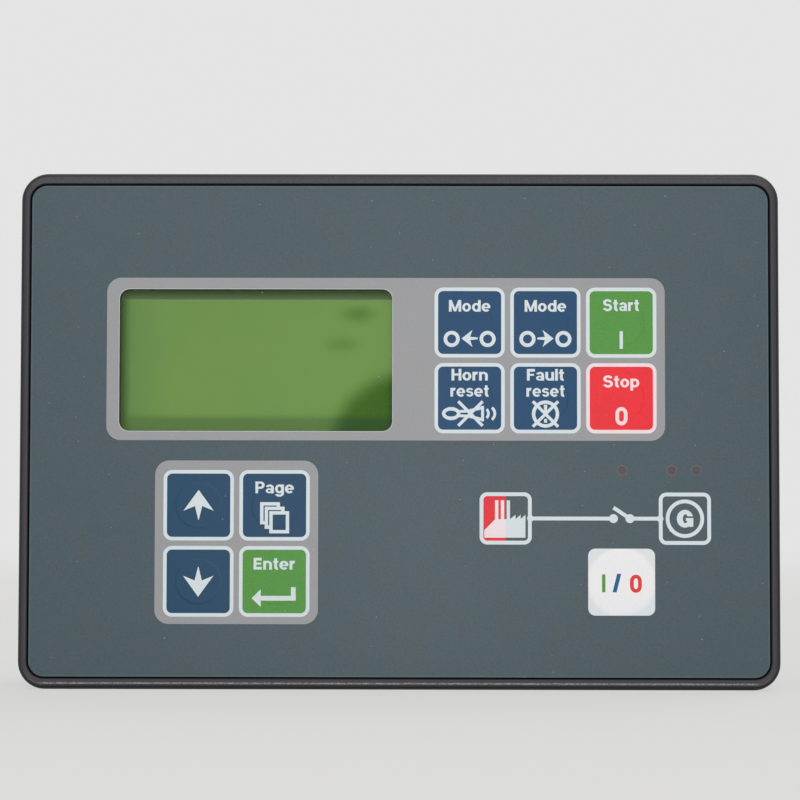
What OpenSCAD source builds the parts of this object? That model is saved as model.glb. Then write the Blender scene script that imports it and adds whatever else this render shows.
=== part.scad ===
// Genset controller: a control unit for an engine and generator that sits in a panel cut-out.
// Frame: x to the right, y into the panel, z up, all in millimetres.
// The origin is the centre of the gasket face that meets the front of the panel.

/* [Face frame] */
// Width of the frame in front of the panel
face_w = 180.5; // [178:0.5:195]
// Height of the frame in front of the panel
face_h = 122.6; // [118:0.1:135]
// Corner radius of the frame
face_corner_r = 6.4; // [5.5:0.1:8]
// Depth of the frame, from its front to the gasket
frame_depth = 7.5; // [6.5:0.1:10]
// How far the sides of the frame lean in towards the front
side_lean = 1; // [0.3:0.1:1.2]
// Depth over which the sides lean in
side_lean_depth = 1.6; // [1:0.1:5]
// Depth of the chamfers along both front edges of the rim
crest_chamfer = 0.2; // [0.1:0.05:0.4]
// Width of the outer one of those chamfers
crest_w = 0.45; // [0.2:0.05:0.6]
// Width of the raised rim at the left and right
rim_side = 2.25; // [1.8:0.05:3]
// Width of the raised rim at the top and bottom
rim_end = 2.6; // [2:0.1:3.5]
// Depth of the recess that the keypad film lies in
recess_depth = 0.9; // [0.7:0.05:1.4]
// Corner radius of that recess
recess_corner_r = 4; // [3:0.1:5]
// Thickness of the wall behind the film
front_wall = 2.5; // [2:0.1:3.5]

/* [Panel cut-out] */
// How far the frame laps over the panel at the left and right of the cut-out
cutout_lap_side = 2.75; // [2:0.05:5]
// How far the frame laps over the panel above and below the cut-out
cutout_lap_end = 3.8; // [2:0.1:6]
// Play of the housing in the cut-out, on each side
cutout_gap = 0.75; // [0.4:0.05:1.5]
// Corner radius of the part that passes through the cut-out
neck_corner_r = 3.2; // [3:0.1:5]
// Thickness of the gasket when it is clamped
gasket_t = 1; // [0.6:0.1:2]
// Distance of the gasket from the edge of the frame
gasket_edge = 0.5; // [0.2:0.1:1]
// Distance of the gasket from the neck
gasket_neck_gap = 0.3; // [0.2:0.05:0.6]

/* [Keypad film] */
// Thickness of the film
film_t = 0.4; // [0.25:0.05:0.6]
// Gap between the film and the rim
film_gap = 0.4; // [0.2:0.05:0.8]
// Thickness of a printed field
ink_t = 0.03; // [0.02:0.005:0.06]
// Height of the raised disc over each key
key_lift = 0.1; // [0.05:0.01:0.4]
// Width of the sloping edge of that disc
key_lift_slope = 0.35; // [0.2:0.05:0.5]

/* [Keys] */
// Side of a printed key
key_size = 16.7; // [15:0.1:17.5]
// Distance between the centres of neighbouring keys
key_pitch = 18; // [17.8:0.1:19]
// Corner radius of a printed key
key_corner_r = 2.1; // [1.5:0.1:3]
// Width of the pale border of a key
key_border = 0.85; // [0.5:0.05:1.2]
// Diameter of the raised disc over a key
key_disc_d = 10.4; // [8:0.1:12]
// Centre of the upper left command key, from the middle of the face
command_keys_x = 16.7; // [14:0.1:18]
// Height of the upper row of command keys above the middle of the face
command_keys_z = 25.7; // [22:0.1:28]
// Centre of the upper left scroll key, from the middle of the face
scroll_keys_x = -47.5; // [-52:0.1:-42]
// Height of the upper row of scroll keys
scroll_keys_z = -17.8; // [-20:0.1:-16]
// Side of the breaker key
breaker_size = 15.8; // [15.6:0.1:17]
// Corner radius of the breaker key
breaker_corner_r = 1.7; // [1:0.1:3]
// Diameter of the raised disc over the breaker key
breaker_disc_d = 14.8; // [10:0.1:14.9]
// Centre of the breaker key
breaker_x = 52.65; // [46:0.1:58]
// Height of the centre of the breaker key
breaker_z = -35.8; // [-40:0.1:-34]
// Margin of a grey field beside its keys
field_margin = 2; // [1:0.1:4]
// Margin of a grey field above its keys
field_head = 2.25; // [1:0.05:4]
// Margin of a grey field below its keys
field_foot = 1.73; // [1:0.01:4]
// Margin of the grey field to the left of the window
field_window_margin = 3; // [1:0.1:5]
// Corner radius of a grey field
field_corner_r = 3.4; // [2:0.1:5]
// Travel of a key
key_travel = 0.3; // [0.2:0.05:0.5]
// Play of a button in its hole, all round
button_gap = 0.3; // [0.2:0.05:0.5]
// Width of the lip that keeps a button in its hole
button_lip = 1.2; // [0.8:0.1:1.6]
// Thickness of that lip
button_lip_t = 0.8; // [0.5:0.1:1.2]
// Diameter of the stem of a button
stem_d = 3.4; // [2.5:0.1:4.5]
// Length of the stem inside its switch
stem_hold = 1.2; // [0.8:0.1:1.6]
// Side of a key switch
switch_size = 12; // [10:0.1:13]
// Height of a key switch
switch_h = 3.5; // [3.2:0.1:3.8]

/* [Display] */
// Width of the display window
window_w = 64.9; // [58:0.1:67]
// Height of the display window
window_h = 33.8; // [30:0.1:35]
// Corner radius of the display window
window_corner_r = 2.4; // [1.5:0.1:4]
// Centre of the display window, from the middle of the face
window_x = -34.1; // [-36:0.1:-33]
// Height of the centre of the display window
window_z = 16.7; // [15:0.1:18]
// Width of the pale line round the window
window_line = 0.15; // [0.1:0.05:0.6]
// Thickness of the clear window pane
pane_t = 1.5; // [1:0.1:1.8]
// How far the film overlaps the pane
pane_lap = 2; // [1:0.1:3]
// Play of the pane in its seat, all round
pane_gap = 0.15; // [0.1:0.05:0.3]
// Distance that the opening behind the pane stands back from the window
sight_gap = 0.3; // [0.1:0.05:0.6]
// How far the display glass reaches past the window
glass_margin = 4.5; // [3:0.1:6]
// Thickness of the display glass
glass_t = 1.9; // [1.4:0.1:2.6]
// Thickness of the light guide behind the glass
light_guide_t = 3; // [2.8:0.1:4]
// Thickness of the sheet metal of the display frame
display_metal_t = 0.5; // [0.3:0.05:0.8]
// Distance between the display frame and the front wall
display_gap = 0.7; // [0.4:0.05:1.5]

/* [Mimic diagram] */
// Height of the line of the diagram
mimic_z = -20.8; // [-23:0.1:-19]
// Side of the boxes at both ends of the line
mimic_box = 12.35; // [10:0.05:14]
// Width of the printed lines
mimic_line = 0.9; // [0.5:0.05:1.2]
// Corner radius of the boxes
mimic_corner_r = 1.8; // [1.2:0.1:3]
// Centre of the box of the load
load_x = 25.25; // [22:0.05:28]
// Centre of the box of the generator
source_x = 67.65; // [66:0.05:70]
// Diameter of the circle in the box of the generator
source_circle_d = 9.1; // [7:0.1:9.5]
// Place of the left contact of the breaker
contact_left_x = 50.75; // [46:0.05:52]
// Place of the right contact of the breaker
contact_right_x = 54.65; // [53.5:0.05:58]
// Diameter of a contact
contact_d = 2.1; // [1.5:0.1:2.8]
// Height of the tip of the open breaker arm above the line
arm_rise = 2.6; // [1.8:0.1:4]

/* [Status lamps] */
// Height of the row of lamps
lamp_z = -9.55; // [-11:0.05:-8]
// Place of the breaker lamp
breaker_lamp_x = 52.85; // [50:0.05:56]
// Place of the first generator lamp
source_lamp_x = 64.55; // [62:0.05:66]
// Distance between the two generator lamps
lamp_pitch = 5.8; // [5:0.05:8]
// Diameter of a lamp
lamp_d = 3; // [2:0.1:3.4]
// Length of a lamp without its legs
lamp_len = 5.3; // [4.6:0.1:6]

/* [Housing] */
// Thickness of the housing walls
shell_wall = 2.2; // [1.8:0.1:2.6]
// Depth of the neck behind the panel face, to the joint with the rear housing
neck_depth = 12; // [10:0.5:13]
// Depth of the terminal ledges behind the panel face
ledge_depth = 32; // [30:0.5:38]
// Depth of the whole housing behind the panel face
body_depth = 46; // [44:0.5:52]
// Height of the deep middle of the housing
spine_h = 62; // [58:0.5:64]
// Length of the tongue of the rear housing inside the neck
tongue_len = 5; // [3:0.5:6]
// Thickness of the tongue
tongue_wall = 1.5; // [1:0.1:2]
// Play of the tongue in the neck
tongue_gap = 0.2; // [0.1:0.05:0.4]
// Outer diameter of the corner posts
post_d = 8.4; // [8:0.1:9.5]
// Distance of the corner posts from the tongue
post_gap = 0.4; // [0.2:0.05:1]
// Depth at which the corner posts of both halves meet
post_meet = 14; // [13.5:0.1:16]
// Thickness of the seat of a housing screw
screw_seat = 3; // [2:0.1:4]
// Diameter of the shank of a housing screw
housing_screw_d = 2.9; // [2.5:0.1:3.2]
// Length of the shank of a housing screw
housing_screw_len = 12; // [9:0.5:14]
// Diameter of the shank of a board screw
board_screw_d = 2.4; // [2:0.1:2.6]
// Length of the shank of a board screw
board_screw_len = 6; // [5:0.5:7]
// Play of a screw in a clearance hole, all round
screw_gap = 0.25; // [0.15:0.05:0.4]
// Play of a screw thread in its pilot hole, all round
thread_gap = 0.05; // [0.02:0.01:0.1]
// Width of a ventilation slot
vent_w = 2; // [1.5:0.1:2.4]
// Length of a ventilation slot
vent_len = 34; // [24:1:40]
// Number of ventilation slots
vent_count = 9; // [5:1:11]
// Distance between neighbouring ventilation slots
vent_pitch = 4.2; // [3.6:0.1:5]
// Place of the middle of the ventilation slots
vent_x = 44; // [40:0.5:48]
// Width of a slot for a mounting clamp
clamp_slot_w = 3.2; // [2.5:0.1:4]
// Length of a slot for a mounting clamp
clamp_slot_len = 9; // [7:0.5:10]
// Height of the clamp slots above and below the middle
clamp_slot_z = 18; // [12:0.5:22]
// Width of the plug-in module bay
bay_w = 52; // [44:0.5:60]
// Height of the plug-in module bay
bay_h = 26; // [20:0.5:32]
// Place of the middle of the module bay
bay_x = -34; // [-40:0.5:-30]
// Thickness of the cover over the module bay
cover_t = 1.4; // [1:0.1:1.6]
// How far the cover overlaps the edge of the bay
cover_lap = 2; // [1.5:0.1:3]
// Play of the cover in its seat
cover_gap = 0.2; // [0.1:0.05:0.4]

/* [Terminals] */
// Distance between neighbouring signal terminals
signal_pitch = 5.08; // [5:0.01:5.2]
// Distance between neighbouring voltage terminals
voltage_pitch = 7.62; // [7.5:0.01:7.7]
// Number of output terminals
output_ways = 14; // [8:1:14]
// Number of voltage terminals
voltage_ways = 4; // [2:1:4]
// Number of input terminals
input_ways = 14; // [8:1:14]
// Number of sensor and current terminals
sensor_ways = 8; // [4:1:8]
// Gap between neighbouring headers in a row
header_row_gap = 6; // [4:0.5:8]
// Height of a header above its board
header_h = 12; // [11:0.5:13]
// Height of the solid base of a header
header_base = 3.5; // [3:0.1:4.5]
// Thickness of the walls of a header
header_wall = 1.2; // [1:0.1:1.5]
// How far a header stands out of its ledge
header_proud = 1; // [0.5:0.1:2]
// Play of a header in its opening and of a plug in its header
terminal_gap = 0.25; // [0.15:0.05:0.4]
// Thickness of the nose of a plug
plug_nose_h = 6.4; // [5.5:0.1:7]
// Height of the body of a plug
plug_h = 14; // [12:0.5:15]
// Distance of a plug from the depth of the housing
plug_setback = 0.5; // [0:0.1:2]
// Width of a wire entry
wire_entry_w = 2.8; // [2:0.1:3.2]
// Height of a wire entry
wire_entry_h = 3.6; // [2.5:0.1:4]
// Depth of a wire entry
wire_entry_depth = 9; // [6:0.5:10]
// Diameter of a terminal screw
terminal_screw_d = 3.2; // [2.4:0.1:3.4]
// Length of a terminal screw
terminal_screw_len = 2.4; // [1.8:0.1:2.8]
// Depth of a terminal screw below the top of its plug
terminal_screw_sink = 1; // [0.5:0.1:1.4]
// Side of a contact pin
pin_side = 1; // [0.8:0.05:1.2]

/* [Boards] */
// Thickness of a circuit board
board_t = 1.6; // [1.2:0.1:2]
// Distance of a board from the wall of the neck
board_edge = 2.2; // [2:0.1:3.5]
// Diameter of a board boss
board_boss_d = 6; // [5:0.1:6.4]
// Side of the processor
processor_size = 20; // [14:0.5:24]
// Height of the processor
processor_h = 1.5; // [1:0.1:2]
// Number of leads on each side of the processor
processor_leads = 12; // [8:1:16]
// Diameter of the buffer battery
battery_d = 20; // [16:0.5:24]
// Thickness of the buffer battery
battery_t = 3.2; // [2:0.1:5]
// Number of contacts in each row of the link between the boards
link_ways = 13; // [8:1:16]
// Distance between neighbouring contacts of that link
link_pitch = 2.54; // [2.5:0.01:2.6]
// Side of a current transformer
transformer_size = 14; // [11:0.5:15]
// Height of a current transformer
transformer_h = 16; // [12:0.5:18]
// Diameter of the supply capacitor
capacitor_d = 12.5; // [8:0.5:14]
// Height of the supply capacitor
capacitor_h = 18; // [12:0.5:20]
// Outer diameter of the supply choke
choke_d = 16; // [12:0.5:18]
// Thickness of the supply choke
choke_h = 7; // [5:0.5:9]

/* [Hidden] */
$fn = 64;
// How far a cut runs past the face it opens
cut = 1;
// How far a boss, post or pin reaches into the wall that carries it
root = 0.5;

// Depths from the front of the frame to the front board
gasket_front = -gasket_t;
front_y = gasket_front - frame_depth;
floor_y = front_y + recess_depth;
film_y = floor_y - film_t;
wall_back = floor_y + front_wall;
display_y = wall_back + display_gap;
glass_y = display_y + display_metal_t;
board_y = glass_y + glass_t + light_guide_t;
board_back = board_y + board_t;

// Outlines of the recess, the film and the neck
recess_w = face_w - 2 * rim_side;
recess_h = face_h - 2 * rim_end;
film_w = recess_w - 2 * film_gap;
film_h = recess_h - 2 * film_gap;
film_corner_r = recess_corner_r - film_gap;
neck_w = face_w - 2 * (cutout_lap_side + cutout_gap);
neck_h = face_h - 2 * (cutout_lap_end + cutout_gap);
inner_w = neck_w - 2 * shell_wall;
inner_h = neck_h - 2 * shell_wall;
inner_corner_r = neck_corner_r - shell_wall;
tongue_w = inner_w - 2 * tongue_gap;
tongue_h = inner_h - 2 * tongue_gap;
post_x = tongue_w / 2 - tongue_wall - post_gap - post_d / 2;
post_z = tongue_h / 2 - tongue_wall - post_gap - post_d / 2;
POSTS = [for (sx = [-1, 1], sz = [-1, 1]) [sx * post_x, sz * post_z]];

// Keys: name, place, colour of the field
KEYS = [
    ["mode_left", command_keys_x, command_keys_z, "blue"],
    ["mode_right", command_keys_x + key_pitch, command_keys_z, "blue"],
    ["start", command_keys_x + 2 * key_pitch, command_keys_z, "green"],
    ["horn_reset", command_keys_x, command_keys_z - key_pitch, "blue"],
    ["fault_reset", command_keys_x + key_pitch, command_keys_z - key_pitch, "blue"],
    ["stop", command_keys_x + 2 * key_pitch, command_keys_z - key_pitch, "red"],
    ["up", scroll_keys_x, scroll_keys_z, "blue"],
    ["page", scroll_keys_x + key_pitch, scroll_keys_z, "blue"],
    ["down", scroll_keys_x, scroll_keys_z - key_pitch, "blue"],
    ["enter", scroll_keys_x + key_pitch, scroll_keys_z - key_pitch, "green"],
    ["breaker", breaker_x, breaker_z, "pale"]
];
BORDERED = [for (k = KEYS) if (k[3] != "pale") k];
BREAKER = KEYS[len(KEYS) - 1];
function disc_d(k) = k[3] == "pale" ? breaker_disc_d : key_disc_d;

// Buttons and switches
film_play = 0.1;
button_top = floor_y - key_lift + film_play;
button_inset = 0.2;
button_chamfer = 0.4;
lip_play = 0.2;
lip_y = wall_back + lip_play;
switch_y = board_y - switch_h;
switch_corner_r = 0.8;
switch_collar_h = 0.5;
switch_collar_wall = 1.5;
stem_play = 0.2;
stem_end = switch_y + stem_hold;
switch_bore_d = stem_d + 2 * stem_play;
switch_collar_d = switch_bore_d + 2 * switch_collar_wall;
switch_bore_end = stem_end + key_travel + stem_play;
function button_d(k) = disc_d(k) - 2 * button_inset;

// Lamps: name, place
LAMPS = [
    ["breaker", breaker_lamp_x],
    ["source_left", source_lamp_x],
    ["source_right", source_lamp_x + lamp_pitch]
];
lamp_play = 0.3;
lamp_sink = 0.5;
lamp_flange = 0.4;
lamp_flange_t = 1;
lamp_leg = 0.5;
lamp_leg_pitch = 2.54;
lamp_tip = floor_y + lamp_sink;
lamp_back = lamp_tip + lamp_len;

// Display glass, its frame and the feet that hold it to the board
glass_w = window_w + 2 * glass_margin;
glass_h = window_h + 2 * glass_margin;
glass_play = 0.2;
display_w = glass_w + 2 * (glass_play + display_metal_t);
display_h = glass_h + 2 * (glass_play + display_metal_t);
display_sight = 1.5;
glass_corner_r = 0.6;
foot_w = 3;
foot_play = 0.2;
foot_inset = 12;
foot_reach = 1;
FEET = [for (sx = [-1, 1], sz = [-1, 1]) [
    window_x + sx * (display_w / 2 - foot_inset),
    window_z + sz * (display_h - display_metal_t) / 2
]];

// Boards and their screws
board_w = inner_w - 2 * board_edge;
board_h = inner_h - 2 * board_edge;
board_corner_r = 1.5;
notch_gap = 0.6;
notch_x = post_x - post_d / 2 - notch_gap;
notch_z = post_z - post_d / 2 - notch_gap;
boss_edge = 1.3;
boss_inset = board_boss_d / 2 + boss_edge;
FRONT_BOSSES = [for (sx = [-1, 1], sz = [-1, 1])
    [sx * (notch_x - boss_inset), sz * (board_h / 2 - boss_inset)]];
ledge_inside = ledge_depth - shell_wall;
terminal_board_back = ledge_depth + header_proud - header_h;
terminal_board_y = terminal_board_back - board_t;
REAR_BOSSES = [for (sx = [-1, 1], sz = [-1, 1])
    [sx * (board_w / 2 - boss_inset - boss_edge), sz * (spine_h / 2 + boss_inset)]];
screw_head_ratio = 1.85;
board_screw_head_d = screw_head_ratio * board_screw_d;
board_screw_head_h = 1.6;
housing_screw_head_d = screw_head_ratio * housing_screw_d;
housing_screw_head_h = 2.2;
screw_access_gap = 0.45;
screw_access_d = housing_screw_head_d + 2 * screw_access_gap;
seat_y = post_meet + screw_seat;
pilot_spare = 1;

// Terminals: name, ways, pitch, place, side of the row
row_z = (spine_h / 2 + neck_h / 2) / 2;
header_y = ledge_depth + header_proud;
plug_nose_gap = 0.3;
plug_nose_len = header_h - header_base - plug_nose_gap;
plug_back = body_depth - plug_setback;
function strip_w(ways, pitch) = ways * pitch + 2 * header_wall;
output_w = strip_w(output_ways, signal_pitch);
voltage_w = strip_w(voltage_ways, voltage_pitch);
input_w = strip_w(input_ways, signal_pitch);
sensor_w = strip_w(sensor_ways, signal_pitch);
top_row_w = output_w + header_row_gap + voltage_w;
bottom_row_w = input_w + header_row_gap + sensor_w;
STRIPS = [
    ["outputs", output_ways, signal_pitch, (output_w - top_row_w) / 2, 1],
    ["voltage", voltage_ways, voltage_pitch, (top_row_w - voltage_w) / 2, 1],
    ["inputs", input_ways, signal_pitch, (input_w - bottom_row_w) / 2, -1],
    ["sensors", sensor_ways, signal_pitch, (bottom_row_w - sensor_w) / 2, -1]
];
trough_h = plug_nose_h + 2 * terminal_gap;
header_t = trough_h + 2 * header_wall;
plug_offset = 0.6;
plug_top = plug_h / 2 + plug_offset;
plug_bottom = plug_top - plug_h;
plug_slope_z = 4.4;
plug_slope_y = 3;
plug_groove = 0.5;
wire_entry_floor = 1.6;
wire_entry_z = plug_bottom + wire_entry_floor + wire_entry_h / 2;
terminal_screw_play = 0.2;
terminal_screw_hole_d = terminal_screw_d + 2 * terminal_screw_play;
screw_slot_w = 0.6;
screw_slot_depth = 0.8;
terminal_screw_bottom = plug_top - terminal_screw_sink - terminal_screw_len;
terminal_screw_y = header_y + (plug_back - plug_slope_y - header_y) / 2;
pin_reach = 6.5;
pin_play = 0.3;
bay_corner_r = 1.5;

// Parts on the boards
link_x = 6;
link_z = -34;
link_base = 2.5;
link_socket_h = 8.5;
link_pin = 0.64;
battery_x = -40;
battery_z = -26;
processor_x = 36;
processor_z = 6;
transformer_gap = 3;
transformer_edge = 4;
transformer_pitch = transformer_size + transformer_gap;
transformer_x = 30;
transformer_z = -spine_h / 2 + shell_wall + transformer_size / 2 + transformer_edge;
capacitor_x = -58;
capacitor_z = 16;
choke_x = -36;
choke_z = 16;

// Shapes that repeat

// Rounded rectangle, in the plane of the face
module rounded(w, h, r) {
    square([w - 2 * r, h], center = true);
    square([w, h - 2 * r], center = true);
    for (sx = [-1, 1], sz = [-1, 1])
        translate([sx * (w / 2 - r), sz * (h / 2 - r)]) circle(r);
}

// An outline in the plane of the face, from depth y0 to depth y1
module through(y0, y1) {
    translate([0, y1, 0]) rotate([90, 0, 0]) linear_extrude(height = y1 - y0) children();
}

// Rounded plate parallel to the face
module plate(w, h, r, y0, y1, x = 0, z = 0) {
    through(y0, y1) translate([x, z]) rounded(w, h, r);
}

// Block with its middle at x, z
module block(w, h, y0, y1, x = 0, z = 0) {
    translate([x - w / 2, y0, z - h / 2]) cube([w, y1 - y0, h]);
}

// Rod or cone along y
module rod(d0, d1, y0, y1, x = 0, z = 0) {
    translate([x, y1, z]) rotate([90, 0, 0]) cylinder(d1 = d1, d2 = d0, h = y1 - y0);
}

// Solid of revolution about y, from points of radius and depth
module turned(points, x = 0, z = 0) {
    translate([x, 0, z]) rotate([-90, 0, 0]) rotate_extrude() polygon(points);
}

// Rounded block whose four sides lean in towards the front
module leaning_block(w, h, r, lean, y0, y1) {
    rotate([90, 0, 90]) linear_extrude(height = w - 2 * r, center = true)
        polygon([[y0, lean - h / 2], [y1, -h / 2], [y1, h / 2], [y0, h / 2 - lean]]);
    linear_extrude(height = h - 2 * r, center = true)
        polygon([[lean - w / 2, y0], [w / 2 - lean, y0], [w / 2, y1], [-w / 2, y1]]);
    for (sx = [-1, 1], sz = [-1, 1])
        rod(2 * (r - lean), 2 * r, y0, y1, sx * (w / 2 - r), sz * (h / 2 - r));
}

// Raised disc of the film over a key, moved along y by shift
module key_disc(k, shift) {
    rod(disc_d(k), disc_d(k) + 2 * key_lift_slope, film_y - key_lift + shift, film_y + shift, k[1], k[2]);
}

// Outline of the display window, widened by a margin
module window_outline(margin) {
    rounded(window_w + 2 * margin, window_h + 2 * margin, window_corner_r + margin);
}

// Flat printed field on the film
module ink() {
    through(film_y - ink_t, film_y) children();
}

// Printed field of a key, which follows the raised disc
module key_ink(k, size, r) {
    difference() {
        union() {
            plate(size, size, r, film_y - ink_t, film_y, k[1], k[2]);
            key_disc(k, -ink_t);
        }
        key_disc(k, 0);
    }
}

// Cross-headed screw along y with its seat at y = 0, turned about x
module screw(shank_d, shank_len, head_d, head_h, turn) {
    edge = 0.5;
    cross_len = head_d * 0.55;
    cross_w = head_d * 0.14;
    recess = head_h / 2;
    rotate([turn, 0, 0]) difference() {
        turned([[0, -head_h], [head_d / 2 - edge, -head_h], [head_d / 2, edge - head_h], [head_d / 2, 0],
                [shank_d / 2, 0], [shank_d / 2, shank_len - edge], [shank_d / 2 - edge, shank_len],
                [0, shank_len]]);
        block(cross_len, cross_w, -head_h - cut, recess - head_h);
        block(cross_w, cross_len, -head_h - cut, recess - head_h);
    }
}

// A strip of terminals with its row at the top or the bottom of the housing
module at_strip(s) {
    translate([s[3], 0, s[4] * row_z]) mirror([0, 0, s[4] < 0 ? 1 : 0]) children();
}

// Places of the ways along a strip
function way_x(s, i) = (i - (s[1] - 1) / 2) * s[2];

// Sub-parts, from the front of the unit to its back

// Moulded front: frame, film recess, neck, holes for the keys and lamps, bosses
module front_bezel() {
    color("#3f3f42") difference() {
        union() {
            difference() {
                union() {
                    lean_y = front_y + crest_chamfer;
                    leaning_block(face_w - 2 * side_lean, face_h - 2 * side_lean, face_corner_r - side_lean,
                        crest_w, front_y, lean_y);
                    leaning_block(face_w, face_h, face_corner_r, side_lean, lean_y, lean_y + side_lean_depth);
                    plate(face_w, face_h, face_corner_r, lean_y + side_lean_depth, gasket_front);
                    plate(neck_w, neck_h, neck_corner_r, gasket_front, neck_depth);
                }
                plate(recess_w, recess_h, recess_corner_r, front_y - cut, floor_y);
                flare = 2 * crest_chamfer;
                mirror([0, 1, 0])
                    leaning_block(recess_w + 2 * flare, recess_h + 2 * flare, recess_corner_r + flare, flare,
                        -front_y - crest_chamfer, crest_chamfer - front_y);
                plate(inner_w, inner_h, inner_corner_r, wall_back, neck_depth + cut);
            }
            for (p = POSTS) rod(post_d, post_d, wall_back - root, post_meet, p[0], p[1]);
            for (p = FRONT_BOSSES)
                rod(board_boss_d, board_boss_d, wall_back - root, board_y, p[0], p[1]);
        }
        plate(window_w + 2 * sight_gap, window_h + 2 * sight_gap, window_corner_r + sight_gap,
            floor_y - cut, wall_back + cut, window_x, window_z);
        pane_seat = 2 * (pane_lap + pane_gap);
        plate(window_w + pane_seat, window_h + pane_seat, window_corner_r + pane_seat / 2,
            floor_y - cut, floor_y + pane_t, window_x, window_z);
        for (k = KEYS) {
            hole_d = button_d(k) + 2 * button_gap;
            rod(hole_d, hole_d, floor_y - cut, wall_back + cut, k[1], k[2]);
        }
        lamp_hole_d = lamp_d + 2 * lamp_play;
        for (p = LAMPS) rod(lamp_hole_d, lamp_hole_d, floor_y - cut, wall_back + cut, p[1], lamp_z);
        post_pilot_d = housing_screw_d + 2 * thread_gap;
        for (p = POSTS)
            rod(post_pilot_d, post_pilot_d, seat_y - housing_screw_len - pilot_spare, post_meet + cut,
                p[0], p[1]);
        boss_pilot_d = board_screw_d + 2 * thread_gap;
        for (p = FRONT_BOSSES)
            rod(boss_pilot_d, boss_pilot_d, board_back - board_screw_len - pilot_spare, board_y + cut,
                p[0], p[1]);
    }
}

// One sheet of printed film over the whole face, with a cut-out for the window
module keypad_film() {
    color("#566269") difference() {
        union() {
            plate(film_w, film_h, film_corner_r, film_y, floor_y);
            for (k = KEYS) key_disc(k, 0);
        }
        for (k = KEYS) key_disc(k, film_t);
        plate(window_w, window_h, window_corner_r, film_y - cut, floor_y + cut, window_x, window_z);
    }
}

// Grey fields behind the command keys and the scroll keys
module print_grey() {
    left = window_x - window_w / 2 - field_window_margin;
    right = command_keys_x + 2 * key_pitch + key_size / 2 + field_margin;
    height = key_pitch + key_size + field_head + field_foot;
    scroll_w = key_pitch + key_size + 2 * field_margin;
    lift = (field_head - field_foot) / 2 - key_pitch / 2;
    color("#9b9b9d") ink() difference() {
        union() {
            translate([(left + right) / 2, command_keys_z + lift])
                rounded(right - left, height, field_corner_r);
            translate([scroll_keys_x + key_pitch / 2, scroll_keys_z + lift])
                rounded(scroll_w, height, field_corner_r);
        }
        for (k = BORDERED) translate([k[1], k[2]]) rounded(key_size, key_size, key_corner_r);
        translate([window_x, window_z])
            window_outline(window_line);
    }
}

// Outline of a box of the mimic diagram
module mimic_frame() {
    difference() {
        rounded(mimic_box, mimic_box, mimic_corner_r);
        mimic_inside();
    }
}

module mimic_inside() {
    side = mimic_box - 2 * mimic_line;
    rounded(side, side, mimic_corner_r - mimic_line);
}

// Line of the mimic diagram, from the load to the generator with an open breaker between
module mimic_wire() {
    load_end = load_x + mimic_box / 2 - mimic_line / 2;
    source_end = source_x - mimic_box / 2 + mimic_line / 2;
    translate([load_end, mimic_z - mimic_line / 2]) square([contact_left_x - load_end, mimic_line]);
    translate([contact_right_x, mimic_z - mimic_line / 2])
        square([source_end - contact_right_x, mimic_line]);
    for (x = [contact_left_x, contact_right_x]) translate([x, mimic_z]) circle(d = contact_d);
    span = contact_right_x - contact_left_x;
    translate([contact_right_x, mimic_z]) rotate(180 - atan2(arm_rise, span))
        translate([0, -mimic_line / 2]) square([norm([span, arm_rise]), mimic_line]);
}

// Pale print: borders of the keys, line round the window, mimic diagram and breaker key
module print_pale() {
    color("#dce4e8") {
        ink() {
            for (k = BORDERED) translate([k[1], k[2]]) difference() {
                rounded(key_size, key_size, key_corner_r);
                rounded(key_size - 2 * key_border, key_size - 2 * key_border, key_corner_r - key_border);
            }
            translate([window_x, window_z]) difference() {
                window_outline(window_line);
                window_outline(0);
            }
            union() {
                translate([load_x, mimic_z]) mimic_frame();
                translate([source_x, mimic_z]) mimic_frame();
                mimic_wire();
            }
            translate([source_x, mimic_z]) difference() {
                circle(d = source_circle_d);
                circle(d = source_circle_d - 2 * mimic_line);
            }
        }
        key_ink(BREAKER, breaker_size, breaker_corner_r);
    }
}

// Coloured fields of the keys that share one ink
module key_fields(colour) {
    size = key_size - 2 * key_border;
    for (k = BORDERED) if (k[3] == colour) key_ink(k, size, key_corner_r - key_border);
}

module print_blue() {
    color("#355476") key_fields("blue");
}

module print_green() {
    color("#5c9b49") key_fields("green");
}

// Red ink: the stop key and the left half of the box of the load
module print_red() {
    color("#ed4048") {
        key_fields("red");
        ink() translate([load_x, mimic_z]) intersection() {
            mimic_inside();
            translate([-mimic_box, -mimic_box / 2]) square([mimic_box, mimic_box]);
        }
    }
}

// Clear pane, let into the front wall and overlapped by the film
module display_window() {
    color("#bcd0c0", 0.4)
        plate(window_w + 2 * pane_lap, window_h + 2 * pane_lap, window_corner_r + pane_lap,
            floor_y, floor_y + pane_t, window_x, window_z);
}

// Flat foam gasket between the frame and the panel
module panel_gasket() {
    color("#1d1d1f") difference() {
        plate(face_w - 2 * gasket_edge, face_h - 2 * gasket_edge, face_corner_r - gasket_edge,
            gasket_front, 0);
        plate(neck_w + 2 * gasket_neck_gap, neck_h + 2 * gasket_neck_gap, neck_corner_r + gasket_neck_gap,
            gasket_front - cut, cut);
    }
}

// Sheet metal frame that holds the display to the front board, with feet through the board
module display_frame() {
    color("#8f9296") {
        difference() {
            block(display_w, display_h, display_y, board_y, window_x, window_z);
            block(glass_w + 2 * glass_play, glass_h + 2 * glass_play, glass_y, board_y + cut,
                window_x, window_z);
            block(window_w + 2 * display_sight, window_h + 2 * display_sight, display_y - cut, glass_y + cut,
                window_x, window_z);
        }
        for (p = FEET) block(foot_w, display_metal_t, board_y - root, board_back + foot_reach, p[0], p[1]);
    }
}

// Display glass with its liquid crystal
module display_glass() {
    color("#6e9650") plate(glass_w, glass_h, glass_corner_r, glass_y, glass_y + glass_t, window_x, window_z);
}

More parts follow.
